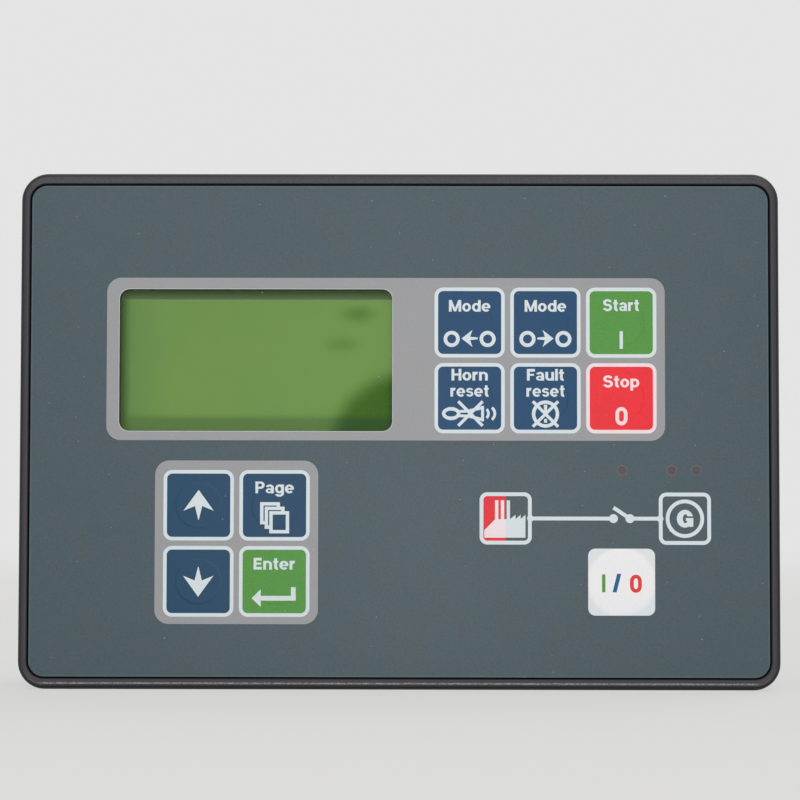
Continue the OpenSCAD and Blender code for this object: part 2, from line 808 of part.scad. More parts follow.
// Moulded light guide that lights the glass from behind
module light_guide() {
    color("#e9efe2")
        plate(glass_w, glass_h, glass_corner_r, glass_y + glass_t, board_y, window_x, window_z);
}

// Outline of a board, cut away at the corner posts
module board_blank(y0, y1) {
    difference() {
        plate(board_w, board_h, board_corner_r, y0, y1);
        for (p = POSTS)
            block(board_w, board_h, y0 - cut, y1 + cut,
                sign(p[0]) * (notch_x + board_w / 2), sign(p[1]) * (notch_z + board_h / 2));
    }
}

// Board behind the keys and the display
module front_board() {
    hole_d = board_screw_d + 2 * screw_gap;
    color("#1f5a36") difference() {
        board_blank(board_y, board_back);
        for (p = FRONT_BOSSES) rod(hole_d, hole_d, board_y - cut, board_back + cut, p[0], p[1]);
        for (p = FEET)
            block(foot_w + 2 * foot_play, display_metal_t + 2 * foot_play, board_y - cut, board_back + cut,
                p[0], p[1]);
    }
}

// Push switch under one key
module key_switch(k) {
    color("#26262a") difference() {
        union() {
            plate(switch_size, switch_size, switch_corner_r, switch_y + switch_collar_h, board_y, k[1], k[2]);
            rod(switch_collar_d, switch_collar_d, switch_y, board_y - root, k[1], k[2]);
        }
        rod(switch_bore_d, switch_bore_d, switch_y - cut, switch_bore_end, k[1], k[2]);
    }
}

// Button between the film and its switch, kept in its hole by a lip
module key_button(k) {
    r = button_d(k) / 2;
    lip_r = r + button_lip;
    lip_end = lip_y + button_lip_t;
    color("#d8d8d4")
        turned([[0, button_top], [r - button_chamfer, button_top], [r, button_top + button_chamfer],
                [r, lip_y], [lip_r, lip_y], [lip_r, lip_end], [stem_d / 2, lip_end],
                [stem_d / 2, stem_end], [0, stem_end]], k[1], k[2]);
}

// Round lamp on two legs, behind its hole in the front wall
module status_lamp(p) {
    r = lamp_d / 2;
    flange_r = r + lamp_flange;
    flange_y = lamp_back - lamp_flange_t;
    color("#6e3a3c") {
        translate([p[1], lamp_tip + r, lamp_z]) sphere(r);
        turned([[0, lamp_tip + r], [r, lamp_tip + r], [r, flange_y], [flange_r, flange_y],
                [flange_r, lamp_back], [0, lamp_back]], p[1], lamp_z);
        for (s = [-0.5, 0.5])
            block(lamp_leg, lamp_leg, lamp_back - root, board_y, p[1] + s * lamp_leg_pitch, lamp_z);
    }
}

// Processor on the back of the front board, with a row of leads on each side
module processor() {
    lead_margin = 2;
    lead_w = 0.4;
    lead_len = 1.6;
    lift = 0.1;
    lead_pitch = (processor_size - 2 * lead_margin) / (processor_leads - 1);
    color("#222326") {
        plate(processor_size, processor_size, lead_w, board_back + lift, board_back + lift + processor_h,
            processor_x, processor_z);
        for (turn = [0:90:270], i = [0:processor_leads - 1])
            translate([processor_x, 0, processor_z]) rotate([0, turn, 0])
                block(lead_w, lead_len, board_back, board_back + lead_w,
                    (i - (processor_leads - 1) / 2) * lead_pitch, processor_size / 2 + lead_len / 4);
    }
}

// Pin strip and socket that join the two boards
module board_link() {
    w = link_ways * link_pitch;
    h = 2 * link_pitch;
    color("#2b2b2e") {
        block(w, h, board_back, board_back + link_base, link_x, link_z);
        block(w, h, terminal_board_y - link_socket_h, terminal_board_y, link_x, link_z);
        for (i = [0:link_ways - 1], s = [-0.5, 0.5])
            block(link_pin, link_pin, board_back + root, terminal_board_y - link_socket_h + root,
                link_x + (i - (link_ways - 1) / 2) * link_pitch, link_z + s * link_pitch);
    }
}

// Board that carries the terminals and the supply
module terminal_board() {
    hole_d = board_screw_d + 2 * screw_gap;
    color("#1f5a36") difference() {
        board_blank(terminal_board_y, terminal_board_back);
        for (p = REAR_BOSSES)
            rod(hole_d, hole_d, terminal_board_y - cut, terminal_board_back + cut, p[0], p[1]);
    }
}

// Fixed half of a terminal strip: a trough with one pin for each way
module terminal_header(s) {
    floor_of_trough = terminal_board_back + header_base;
    color("#3d8a4e") at_strip(s) {
        difference() {
            block(strip_w(s[1], s[2]), header_t, terminal_board_back, header_y);
            block(s[1] * s[2], trough_h, floor_of_trough, header_y + cut);
        }
        for (i = [0:s[1] - 1])
            block(pin_side, pin_side, floor_of_trough - root, floor_of_trough + pin_reach, way_x(s, i), 0);
    }
}

// Plug of a terminal strip: nose in the header, wire entries at the back, screws on the outer side
module terminal_plug(s) {
    w = strip_w(s[1], s[2]);
    nose_y = header_y - plug_nose_len;
    slope_top = plug_top - plug_slope_z;
    cavity = pin_side + 2 * pin_play;
    color("#46a05a") at_strip(s) difference() {
        union() {
            rotate([90, 0, 90]) linear_extrude(height = w, center = true)
                polygon([[header_y, plug_bottom], [plug_back, plug_bottom], [plug_back, slope_top],
                         [plug_back - plug_slope_y, plug_top], [header_y, plug_top]]);
            block(s[1] * s[2] - 2 * terminal_gap, plug_nose_h, nose_y, header_y + root);
        }
        for (i = [0:s[1] - 1]) {
            x = way_x(s, i);
            block(wire_entry_w, wire_entry_h, plug_back - wire_entry_depth, plug_back + cut, x, wire_entry_z);
            block(cavity, cavity, nose_y - cut, nose_y + pin_reach + pin_play, x, 0);
            translate([x, terminal_screw_y, terminal_screw_bottom])
                cylinder(d = terminal_screw_hole_d, h = plug_top - terminal_screw_bottom + cut);
        }
        for (i = [1:s[1] - 1]) {
            x = way_x(s, i) - s[2] / 2;
            block(plug_groove, 2 * plug_groove, header_y - cut, plug_back + cut, x, plug_top);
            block(plug_groove, plug_h + cut, plug_back - plug_groove, plug_back + cut, x, 0);
        }
    }
}

// Slotted clamping screws of all terminals
module terminal_screws() {
    color("#b9bcc0") for (s = STRIPS) at_strip(s) for (i = [0:s[1] - 1])
        translate([way_x(s, i), terminal_screw_y, terminal_screw_bottom]) difference() {
            cylinder(d = terminal_screw_d, h = terminal_screw_len);
            translate([-terminal_screw_d, -screw_slot_w / 2, terminal_screw_len - screw_slot_depth])
                cube([2 * terminal_screw_d, screw_slot_w, screw_slot_depth + cut]);
        }
}

// Potted current transformer on the terminal board
module current_transformer(i) {
    corner_r = 1.2;
    color("#2c3e63")
        plate(transformer_size, transformer_size, corner_r, terminal_board_back,
            terminal_board_back + transformer_h, transformer_x + (i - 2) * transformer_pitch, transformer_z);
}

// Supply capacitor: a can with a rolled groove near its foot
module supply_capacitor() {
    r = capacitor_d / 2;
    y = terminal_board_back;
    top = y + capacitor_h;
    groove = 0.6;
    groove_rise = 2.2;
    groove_y = y + groove_rise;
    color("#2a2f3a")
        turned([[0, y], [r, y], [r, groove_y - groove], [r - groove, groove_y], [r, groove_y + groove],
                [r, top - groove], [r - groove, top], [0, top]], capacitor_x, capacitor_z);
}

// Supply choke: a wound ring that lies on the board
module supply_choke() {
    outer = choke_d / 2;
    inner = choke_d / 4;
    y = terminal_board_back;
    top = y + choke_h;
    e = 1;
    color("#a5602e")
        turned([[inner + e, y], [outer - e, y], [outer, y + e], [outer, top - e], [outer - e, top],
                [inner + e, top], [inner, top - e], [inner, y + e]], choke_x, choke_z);
}

// Buffer battery for the clock, in a flat holder
module buffer_battery() {
    holder_wall = 1;
    holder_d = battery_d + 2 * holder_wall;
    holder_t = 1;
    color("#c9ccd0") {
        rod(holder_d, holder_d, board_back, board_back + holder_t, battery_x, battery_z);
        rod(battery_d, battery_d, board_back + holder_t - root, board_back + holder_t + battery_t,
            battery_x, battery_z);
    }
}

// Moulded rear housing: ledges for the terminals, deep middle, tongue, posts, vents and clamp slots
module rear_housing() {
    spine_r = 2;
    vent_r = vent_w / 2 - 0.02;
    color("#353538") difference() {
        union() {
            difference() {
                union() {
                    plate(neck_w, neck_h, neck_corner_r, neck_depth, ledge_depth);
                    plate(neck_w, spine_h, spine_r, ledge_depth - root, body_depth);
                }
                plate(inner_w, inner_h, inner_corner_r, neck_depth - cut, ledge_inside);
                plate(inner_w, spine_h - 2 * shell_wall, inner_corner_r, ledge_inside - cut,
                    body_depth - shell_wall);
            }
            housing_tongue();
            for (p = POSTS) rod(post_d, post_d, post_meet, ledge_inside + root, p[0], p[1]);
            for (p = REAR_BOSSES)
                rod(board_boss_d, board_boss_d, terminal_board_back, ledge_inside + root, p[0], p[1]);
        }
        clearance_d = housing_screw_d + 2 * screw_gap;
        pilot_d = board_screw_d + 2 * thread_gap;
        for (p = POSTS) {
            rod(screw_access_d, screw_access_d, seat_y, ledge_depth + cut, p[0], p[1]);
            rod(clearance_d, clearance_d, post_meet - cut, seat_y + cut, p[0], p[1]);
        }
        for (p = REAR_BOSSES)
            rod(pilot_d, pilot_d, terminal_board_back - cut,
                terminal_board_y + board_screw_len + pilot_spare, p[0], p[1]);
        for (s = STRIPS) at_strip(s)
            block(strip_w(s[1], s[2]) + 2 * terminal_gap, header_t + 2 * terminal_gap,
                ledge_inside - cut, ledge_depth + cut);
        plate(bay_w, bay_h, bay_corner_r, body_depth - shell_wall - cut, body_depth + cut, bay_x);
        cover_seat = 2 * (cover_lap + cover_gap);
        plate(bay_w + cover_seat, bay_h + cover_seat, bay_corner_r + cover_seat / 2, body_depth - cover_t,
            body_depth + cut, bay_x);
        for (i = [0:vent_count - 1])
            plate(vent_w, vent_len, vent_r, body_depth - shell_wall - cut, body_depth + cut,
                vent_x + (i - (vent_count - 1) / 2) * vent_pitch);
        clamp_y = (neck_depth + ledge_depth) / 2;
        for (sz = [-1, 1])
            translate([0, clamp_y, sz * clamp_slot_z])
                cube([neck_w + 2 * cut, clamp_slot_len, clamp_slot_w], center = true);
    }
}

// Tongue of the rear housing, which enters the neck
module housing_tongue() {
    tongue_root = 3;
    tongue_corner_r = inner_corner_r - tongue_gap;
    difference() {
        union() {
            plate(inner_w + root, inner_h + root, inner_corner_r + root / 2, neck_depth,
                neck_depth + tongue_root);
            plate(tongue_w, tongue_h, tongue_corner_r, neck_depth - tongue_len, neck_depth + tongue_root);
        }
        plate(tongue_w - 2 * tongue_wall, tongue_h - 2 * tongue_wall, tongue_corner_r,
            neck_depth - tongue_len - cut, neck_depth + tongue_root + cut);
    }
}

// Blank cover over the bay for a plug-in module, held by snap legs
module module_cover() {
    leg_t = 1.2;
    leg_w = 6;
    leg_reach = 2.5;
    barb = 0.6;
    barb_gap = 0.2;
    barb_y = body_depth - shell_wall - barb_gap;
    leg_y = body_depth - cover_t + root;
    leg_end = barb_y - leg_reach;
    grip_count = 3;
    grip_w = 1;
    grip_pitch = 2.4;
    grip_len = bay_h * 0.6;
    grip_edge = 3;
    color("#2f2f32") {
        plate(bay_w + 2 * cover_lap, bay_h + 2 * cover_lap, bay_corner_r + cover_lap, body_depth - cover_t,
            body_depth, bay_x);
        for (sx = [-1, 1], sz = [-1, 1])
            translate([bay_x + sx * bay_w / 4, 0, sz * (bay_h / 2 - cover_gap)])
                mirror([0, 0, sz > 0 ? 0 : 1])
                rotate([90, 0, 90]) linear_extrude(height = leg_w, center = true)
                    polygon([[leg_y, -leg_t], [leg_y, 0], [barb_y, 0], [barb_y, barb],
                             [leg_end, -leg_t / 2], [leg_end, -leg_t]]);
        for (i = [0:grip_count - 1])
            block(grip_w, grip_len, body_depth - root, body_depth + root,
                bay_x + bay_w / 2 - grip_edge - i * grip_pitch);
    }
}

// Four screws that hold the two halves of the housing together
module housing_screws() {
    color("#9a9da2") for (p = POSTS) translate([p[0], seat_y, p[1]])
        screw(housing_screw_d, housing_screw_len, housing_screw_head_d, housing_screw_head_h, 180);
}

// Screws of both boards
module board_screws() {
    color("#9a9da2") {
        for (p = FRONT_BOSSES) translate([p[0], board_back, p[1]])
            screw(board_screw_d, board_screw_len, board_screw_head_d, board_screw_head_h, 180);
        for (p = REAR_BOSSES) translate([p[0], terminal_board_y, p[1]])
            screw(board_screw_d, board_screw_len, board_screw_head_d, board_screw_head_h, 0);
    }
}

front_bezel();
keypad_film();
print_grey();
print_pale();
print_blue();
print_green();
print_red();
display_window();
panel_gasket();
display_frame();
display_glass();
light_guide();
front_board();
for (k = KEYS) key_switch(k);
for (k = KEYS) key_button(k);
for (p = LAMPS) status_lamp(p);
processor();
board_link();
terminal_board();
for (s = STRIPS) terminal_header(s);
for (s = STRIPS) terminal_plug(s);
terminal_screws();
for (i = [1:3]) current_transformer(i);
supply_capacitor();
supply_choke();
buffer_battery();
rear_housing();
module_cover();
housing_screws();
board_screws();
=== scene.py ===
"""Looks of the genset controller: finishes of every piece, print on the keypad film, studio and camera."""

import math

import bmesh
import bpy
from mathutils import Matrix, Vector
from mathutils.geometry import delaunay_2d_cdt


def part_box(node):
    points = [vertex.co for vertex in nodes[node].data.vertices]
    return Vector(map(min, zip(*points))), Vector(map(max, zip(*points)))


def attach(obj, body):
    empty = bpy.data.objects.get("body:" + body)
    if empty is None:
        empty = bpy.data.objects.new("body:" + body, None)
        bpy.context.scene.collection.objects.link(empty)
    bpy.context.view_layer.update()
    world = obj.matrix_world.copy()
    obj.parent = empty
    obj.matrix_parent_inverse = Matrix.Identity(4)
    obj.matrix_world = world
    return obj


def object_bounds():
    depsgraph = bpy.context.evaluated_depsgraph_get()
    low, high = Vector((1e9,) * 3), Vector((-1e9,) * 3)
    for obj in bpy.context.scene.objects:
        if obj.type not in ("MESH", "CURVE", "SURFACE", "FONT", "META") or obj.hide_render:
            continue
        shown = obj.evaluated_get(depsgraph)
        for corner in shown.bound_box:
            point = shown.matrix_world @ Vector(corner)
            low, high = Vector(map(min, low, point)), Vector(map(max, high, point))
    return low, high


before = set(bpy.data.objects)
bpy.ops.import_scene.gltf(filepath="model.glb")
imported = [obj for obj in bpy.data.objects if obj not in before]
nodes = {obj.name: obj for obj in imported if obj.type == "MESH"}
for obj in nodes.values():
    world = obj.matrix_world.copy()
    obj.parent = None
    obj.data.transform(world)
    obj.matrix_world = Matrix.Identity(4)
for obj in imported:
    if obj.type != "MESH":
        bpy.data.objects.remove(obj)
cad_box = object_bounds()
mm = 0.001


# Front bezel: the moulded frame in front of the panel, with the neck that passes through it.
# Glass-filled plastic, coloured charcoal in the mass, with a spark-eroded grain from the mould. Its lower
# front edge is painted pale, partly scuffs and partly a painted highlight; its upper rim is painted
# lighter, partly dust and partly painted light from above; its side faces carry painted shade, and the gap
# round the film is painted near black as painted shade.
class Wire:
    """A socket of a shader, which can be used in sums; node() adds any other node."""

    def __init__(self, tree, socket=None):
        self.tree = tree
        self.socket = socket

    def feed(self, socket, value):
        """Links a wire to a socket, or sets the socket to a plain value."""
        if isinstance(value, Wire):
            self.tree.links.new(value.socket, socket)
        else:
            socket.default_value = value

    def node(self, kind, settings=None, inputs=None, output=0):
        """A new node of that kind, by one of its outputs."""
        made = self.tree.nodes.new("ShaderNode" + kind)
        for name, value in (settings or {}).items():
            setattr(made, name, value)
        for name, value in (inputs or {}).items():
            self.feed(made.inputs[name], value)
        return Wire(self.tree, made.outputs[output])

    def sum(self, operation, first, second):
        """One step of arithmetic on two values."""
        return self.node("Math", {"operation": operation}, {0: first, 1: second})

    def __add__(self, other):
        return self.sum("ADD", self, other)

    __radd__ = __add__

    def __sub__(self, other):
        return self.sum("SUBTRACT", self, other)

    def __rsub__(self, other):
        return self.sum("SUBTRACT", other, self)

    def __mul__(self, other):
        return self.sum("MULTIPLY", self, other)

    __rmul__ = __mul__

    def __gt__(self, other):
        return self.sum("GREATER_THAN", self, other)

    def __lt__(self, other):
        return self.sum("LESS_THAN", self, other)

    def step(self, low, high):
        """0 below low, 1 above high, smooth between."""
        settings = {"interpolation_type": "SMOOTHSTEP"}
        return self.node("MapRange", settings, {"Value": self, "From Min": low, "From Max": high})

    def between(self, low_colour, high_colour):
        """The first colour where this is 0, the second where it is 1."""
        return self.node("Mix", {"data_type": "RGBA"}, {0: self, 6: low_colour, 7: high_colour}, 2)

    def axis(self, name):
        """One part of these coordinates."""
        return self.node("SeparateXYZ", None, {0: self}, name)

    def reach(self, x, z, half_x=1.0, half_z=1.0):
        """Distance from a point, seen along y, in half widths and half heights."""
        offset = self.node("VectorMath", {"operation": "SUBTRACT"}, {0: self, 1: (x, 0.0, z)})
        scale = (1 / half_x, 0.0, 1 / half_z)
        flat = self.node("VectorMath", {"operation": "MULTIPLY"}, {0: offset, 1: scale})
        return self.node("VectorMath", {"operation": "LENGTH"}, {0: flat}, "Value")

    def noise(self, size, detail=2.0):
        """Noise over these coordinates, with lumps of that size in millimetres."""
        inputs = {"Vector": self, "Scale": 1 / (size * mm), "Detail": detail, "Roughness": 0.6}
        return self.node("TexNoise", None, inputs)

    def bump(self, depth, normal=None):
        """Normal of a surface that this raises by up to that depth in millimetres."""
        inputs = {"Height": self, "Distance": depth * mm}
        if normal:
            inputs["Normal"] = normal
        return self.node("Bump", None, inputs)


def paint(red, green, blue):
    """Colour of a shader from its screen values, 0 to 255."""
    channels = [value / 255 for value in (red, green, blue)]
    linear = [c / 12.92 if c <= 0.04045 else ((c + 0.055) / 1.055) ** 2.4 for c in channels]
    return (*linear, 1.0)


def dimmed(colour, share):
    """A colour with that share of its light."""
    return (*[share * c for c in colour[:3]], 1.0)


def new_finish(name, **constants):
    """An empty material: itself, its shader's sockets and the coordinates of the surface."""
    finish = bpy.data.materials.new(name)
    finish.use_nodes = True
    tree = finish.node_tree
    sockets = tree.nodes["Principled BSDF"].inputs
    for socket, value in constants.items():
        sockets[socket.replace("_", " ")].default_value = value
    return finish, sockets, Wire(tree).node("TexCoord", output="Object")


def moulded(name, colour, rough, grain, depth, marks_and_light=None, **constants):
    """Moulded plastic: uneven colour, a grain of that size and depth in millimetres, patchy gloss.
    The optional function changes the colour where the piece is marked by use or has light and shade painted
    on it."""
    finish, sockets, place = new_finish(name, **constants)
    pits = place.noise(grain, 3.0)
    clouds = place.noise(25.0, 2.0)
    tone = 0.65 * pits + 0.35 * clouds
    shade = tone.step(0.3, 0.7).between(dimmed(colour, 0.8), dimmed(colour, 1.2))
    place.feed(sockets["Base Color"], marks_and_light(place, shade) if marks_and_light else shade)
    place.feed(sockets["Roughness"], rough + 0.22 * (pits - 0.5) + 0.12 * (clouds - 0.5))
    place.feed(sockets["Normal"], pits.bump(depth))
    return finish


def cover(names, finish):
    """Gives CAD nodes their finish."""
    for name in names:
        nodes[name].data.materials.clear()
        nodes[name].data.materials.append(finish)


film_low, film_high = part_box("keypad_film")
# Strip between the film and the rim that is painted near black as painted shade.
gap_shade_front = film_high.y - 0.2 * mm
gap_shade_back = film_high.y + 0.1 * mm


def painted_gap_shade(place):
    """1 on the strip between the film and the rim, which is painted near black as painted shade."""
    return (place.axis("Y") > gap_shade_front) * (place.axis("Y") < gap_shade_back)


# Strip along the lower front edge where scuffs and a painted highlight are drawn.
scuff_highlight_foot = cad_box[0][2] + 1.28 * mm
scuff_highlight_head = cad_box[0][2] + 1.7 * mm
scuff_highlight_end = film_high.x - 4 * mm
scuff_highlight_fade = 2 * mm
front_turn = -0.85
flat_turn = -0.97


def bezel_marks_and_light(place, shade):
    """Painted light and marks: upper rim lighter (dust and painted light from above), side faces darker
    (painted shade), a broken pale line of scuffs and painted highlight along the lower front edge,
    near-black painted shade in the gap.
    """
    facing = place.node("NewGeometry", None, None, "True Normal")
    front = facing.axis("Y") < front_turn
    height = place.axis("Z")
    # Scuffs and painted highlight: a broken pale line along the lower front edge, fainter on the lower
    # corner bevels.
    stretched = place.node("VectorMath", {"operation": "MULTIPLY"}, {0: place, 1: (0.8, 1.0, 1.0)})
    marks = stretched.noise(0.2, 3.0).step(0.28, 0.72)
    straight = 1.0 - height.sum("ABSOLUTE", place.axis("X"), 0.0).step(scuff_highlight_end, scuff_highlight_end + scuff_highlight_fade)
    edge = front * straight * (height > scuff_highlight_foot) * (height < scuff_highlight_head)
    bevel = front * (facing.axis("Y") > flat_turn) * facing.axis("Z").step(-0.1, -0.38)
    scuff_and_highlight = marks * (edge + 0.3 * bevel * (1.0 - straight))
    # Dust and painted light from above: pale specks over the upper rim.
    dust_and_top_light = (height > film_high.z) * place.noise(0.5, 3.0).step(0.3, 0.7)
    shade = (0.55 * dust_and_top_light).between(shade, paint(82, 82, 88))
    # Painted shade: faces that do not face the front are painted darker.
    shade = front.between(paint(36, 35, 38), shade)
    shade = scuff_and_highlight.between(shade, paint(156, 155, 156))
    # Painted shade: the gap round the film is near black.
    return painted_gap_shade(place).between(shade, paint(12, 12, 13))


charcoal = moulded("charcoal_plastic", paint(55, 54, 59), 0.62, 0.35, 0.03, bezel_marks_and_light,
                   Specular_IOR_Level=0.3)
# Metallic on the near-black gap takes its gloss away, so the painted gap shade stays dark.
charcoal_place = Wire(charcoal.node_tree).node("TexCoord", output="Object")
charcoal_sockets = charcoal.node_tree.nodes["Principled BSDF"].inputs
charcoal_place.feed(charcoal_sockets["Metallic"], painted_gap_shade(charcoal_place))
cover(["front_bezel"], charcoal)

# Display window: a clear pane let into the front wall and held by the film that laps over its edge.
# Cast acrylic with a hard coat: most light passes. Its faces shine a little, and more over the polariser of
# the display, whose shine is counted here with that of the pane.
pane_low, pane_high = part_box("display_window")
pane_lap = 2 * mm
sight_left = pane_low.x + pane_lap
sight_right = pane_high.x - pane_lap
sight_foot = pane_low.z + pane_lap
sight_head = pane_high.z - pane_lap
head_band = 2.4 * mm
foot_band = 4.6 * mm
foot_blur = 2.2 * mm
left_band = 3.0 * mm
left_lag = 0.3 * mm
band_edge = 0.1 * mm
head_line = sight_head - head_band
foot_line = sight_foot + foot_band
clear_pane, pane_sockets, place = new_finish("clear_pane", Base_Color=(0.72, 1.0, 0.4, 1.0), Metallic=1.0)
smears = place.noise(9.0, 3.0)
place.feed(pane_sockets["Roughness"], 0.015 + 0.02 * smears.step(0.45, 0.75))
polariser = 1.0 - place.axis("Z").step(head_line - band_edge, head_line + band_edge)
polariser = polariser * place.axis("X").step(sight_left + left_lag, sight_left + left_lag + left_band)
polariser = polariser * (0.4 + 0.6 * place.axis("Z").step(foot_line - foot_blur, foot_line))
slant = place.node("LayerWeight", None, {"Blend": 0.5}, "Facing")
pane_gloss = 0.039 + 0.9 * slant.sum("POWER", slant, 5.0) + 0.081 * polariser
pane_tree = clear_pane.node_tree
see_through = place.node("BsdfTransparent", None, {"Color": (0.94, 0.97, 0.94, 1.0)})
pane_surface = Wire(pane_tree, pane_tree.nodes["Principled BSDF"].outputs[0])
pane_mix = place.node("MixShader", None, {0: pane_gloss, 1: see_through, 2: pane_surface})
place.feed(pane_tree.nodes["Material Output"].inputs["Surface"], pane_mix)
cover(["display_window"], clear_pane)


# Display: a green liquid-crystal glass in a folded tin-plate frame, lit from behind by a milky guide.
# The glass is blank. Painted shadow of the window's edge darkens its left side, and a band along the top
# that is partly the glass's margin and partly painted shadow grows darker towards the top edge; it is also
# darker along its right edge and towards its foot.
def dust(place, spacing, share):
    """Up to 1 on small specks: one in some of the cells of that spacing in millimetres, by that share."""
    flat = place.node("CombineXYZ", None, {"X": place.axis("X"), "Y": place.axis("Z")})
    inputs = {"Vector": flat, "Scale": 1 / (spacing * mm)}
    cells = flat.node("TexVoronoi", {"voronoi_dimensions": "2D"}, inputs).socket.node.outputs
    chance = place.node("SeparateColor", None, {0: Wire(place.tree, cells["Color"])}).socket.node.outputs
    speck_r = 0.04 + 0.08 * Wire(place.tree, chance["Green"])
    near = Wire(place.tree, cells["Distance"]) * spacing < speck_r
    return near * (Wire(place.tree, chance["Red"]) < share) * (0.3 + 0.7 * Wire(place.tree, chance["Blue"]))


right_band = 2.0 * mm
left_shadow_reach = 14 * mm
display_finish, display_sockets, place = new_finish("display_green", Roughness=0.3, Specular_IOR_Level=0.05,
                                                    Emission_Strength=0.4)
across = place.axis("X")
upward = place.axis("Z")
lit = paint(69, 105, 35)
cells = place.noise(0.36, 2.0)
clouds = place.noise(18.0, 2.0)
field = clouds.step(0.3, 0.7).between(paint(64, 104, 38), paint(74, 106, 32))
# Painted shadow of the window's left edge: darker over the left of the field, lighter towards the right.
field = (0.8 * across.step(sight_left + left_shadow_reach, sight_right)).between(field, paint(73, 113, 38))
field = across.step(sight_left, sight_left + left_shadow_reach).between(paint(35, 86, 30), field)
field = (0.55 * cells.step(0.3, 0.7)).between(field, dimmed(lit, 0.75))
# Darker towards the foot; the top band, partly the glass's margin and partly painted shadow, darkens
# towards the top edge.
field = upward.step(foot_line - foot_blur, foot_line).between(paint(50, 82, 36), field)
head_shade = upward.step(head_line, sight_head).between(paint(71, 89, 62), paint(16, 20, 14))
field = upward.step(head_line - band_edge, head_line + band_edge).between(field, head_shade)
# Painted shadow: near black at the left edge; darker along the right edge too.
field = across.step(sight_left - 0.5 * left_band, sight_left + left_band).between(paint(10, 16, 8), field)
field = across.step(sight_right - right_band, sight_right + right_band).between(field, paint(30, 56, 14))
field = (0.8 * dust(place, 7.0, 0.3)).between(field, paint(190, 206, 180))
place.feed(display_sockets["Base Color"], field)
place.feed(display_sockets["Emission Color"], field)
cover(["display_glass"], display_finish)


def metal(name, colour, rough, streak):
    """Plated metal with fine drawn streaks along x and dull patches."""
    finish, sockets, place = new_finish(name, Metallic=1.0)
    stretched = place.node("VectorMath", {"operation": "MULTIPLY"}, {0: place, 1: (0.08, 1.0, 1.0)})
    streaks = stretched.noise(streak, 3.0)
    patches = place.noise(6.0, 2.0)
    tone = 0.5 * streaks + 0.5 * patches
    shade = tone.step(0.3, 0.7).between(dimmed(colour, 0.78), dimmed(colour, 1.08))
    place.feed(sockets["Base Color"], shade)
    place.feed(sockets["Roughness"], rough + 0.25 * (patches - 0.5))
    place.feed(sockets["Normal"], streaks.bump(0.004))
    return finish


cover(["display_frame"], metal("tinned_steel", paint(178, 180, 184), 0.35, 0.3))
cover(["light_guide"], moulded("milky_plastic", paint(222, 226, 214), 0.4, 1.2, 0.004))


# Boards: glass-fibre laminate under green solder mask, with tracks that show as paler lines.
# The front board lies on bosses of the bezel, the terminal board on bosses of the rear housing.
def board_finish():
    """Solder mask over tracks: lines at half the pin pitch, broken into runs of one pitch."""
    pitch = 2.54 * mm
    finish, sockets, place = new_finish("circuit_board", Coat_Weight=0.3)
    grid = place.node("VectorMath", {"operation": "SNAP"}, {0: place, 1: (pitch, 1.0, pitch / 2)})
    chance = grid.node("TexWhiteNoise", None, {"Vector": grid})
    height = place.axis("Z")
    track = (height.sum("PINGPONG", height, pitch / 4) < 0.3 * mm) * (chance > 0.35)
    fibre = place.noise(0.6, 2.0)
    mask = fibre.between(paint(20, 78, 44), paint(30, 98, 56))
    place.feed(sockets["Base Color"], track.between(mask, paint(58, 134, 76)))
    place.feed(sockets["Roughness"], 0.32 + 0.2 * fibre)
    place.feed(sockets["Normal"], track.bump(0.035))
    return finish


cover(["front_board", "terminal_board"], board_finish())

# Key switches, processor and the link between the boards: black moulded parts soldered to the boards.
# Short-stroke push switches stand behind the keys, each with a collar for the stem of its button.
KEYS = ["mode_left", "mode_right", "start", "horn_reset", "fault_reset", "stop",
        "up", "page", "down", "enter", "breaker"]
chip_black = moulded("chip_black", paint(40, 40, 43), 0.55, 0.25, 0.012)
cover(["key_switch_" + key for key in KEYS] + ["processor", "board_link"], chip_black)

# Status lamps: three red lamps on two legs, set behind holes in the front wall.
# Dyed epoxy, cast in one with a flange round its foot.
lamp_red = moulded("lamp_red", paint(120, 46, 46), 0.22, 2.0, 0.004, Coat_Weight=0.5)
LAMPS = ["breaker", "source_left", "source_right"]
cover(["status_lamp_" + lamp for lamp in LAMPS], lamp_red)

# Buffer battery: a nickel-plated coin cell in a flat holder on the back of the front board.
# Pressed from sheet and spot-welded to its tags.
zinc = metal("zinc_steel", paint(196, 198, 202), 0.32, 0.2)
cover(["buffer_battery"], zinc)

# Key buttons: lipped caps between the film and the switches, which give each key its travel.
# Natural white acetal, turned smooth so that they slide in the holes of the front wall.
button_white = moulded("button_white", paint(214, 214, 208), 0.38, 1.0, 0.005)
cover(["key_button_" + key for key in KEYS], button_white)


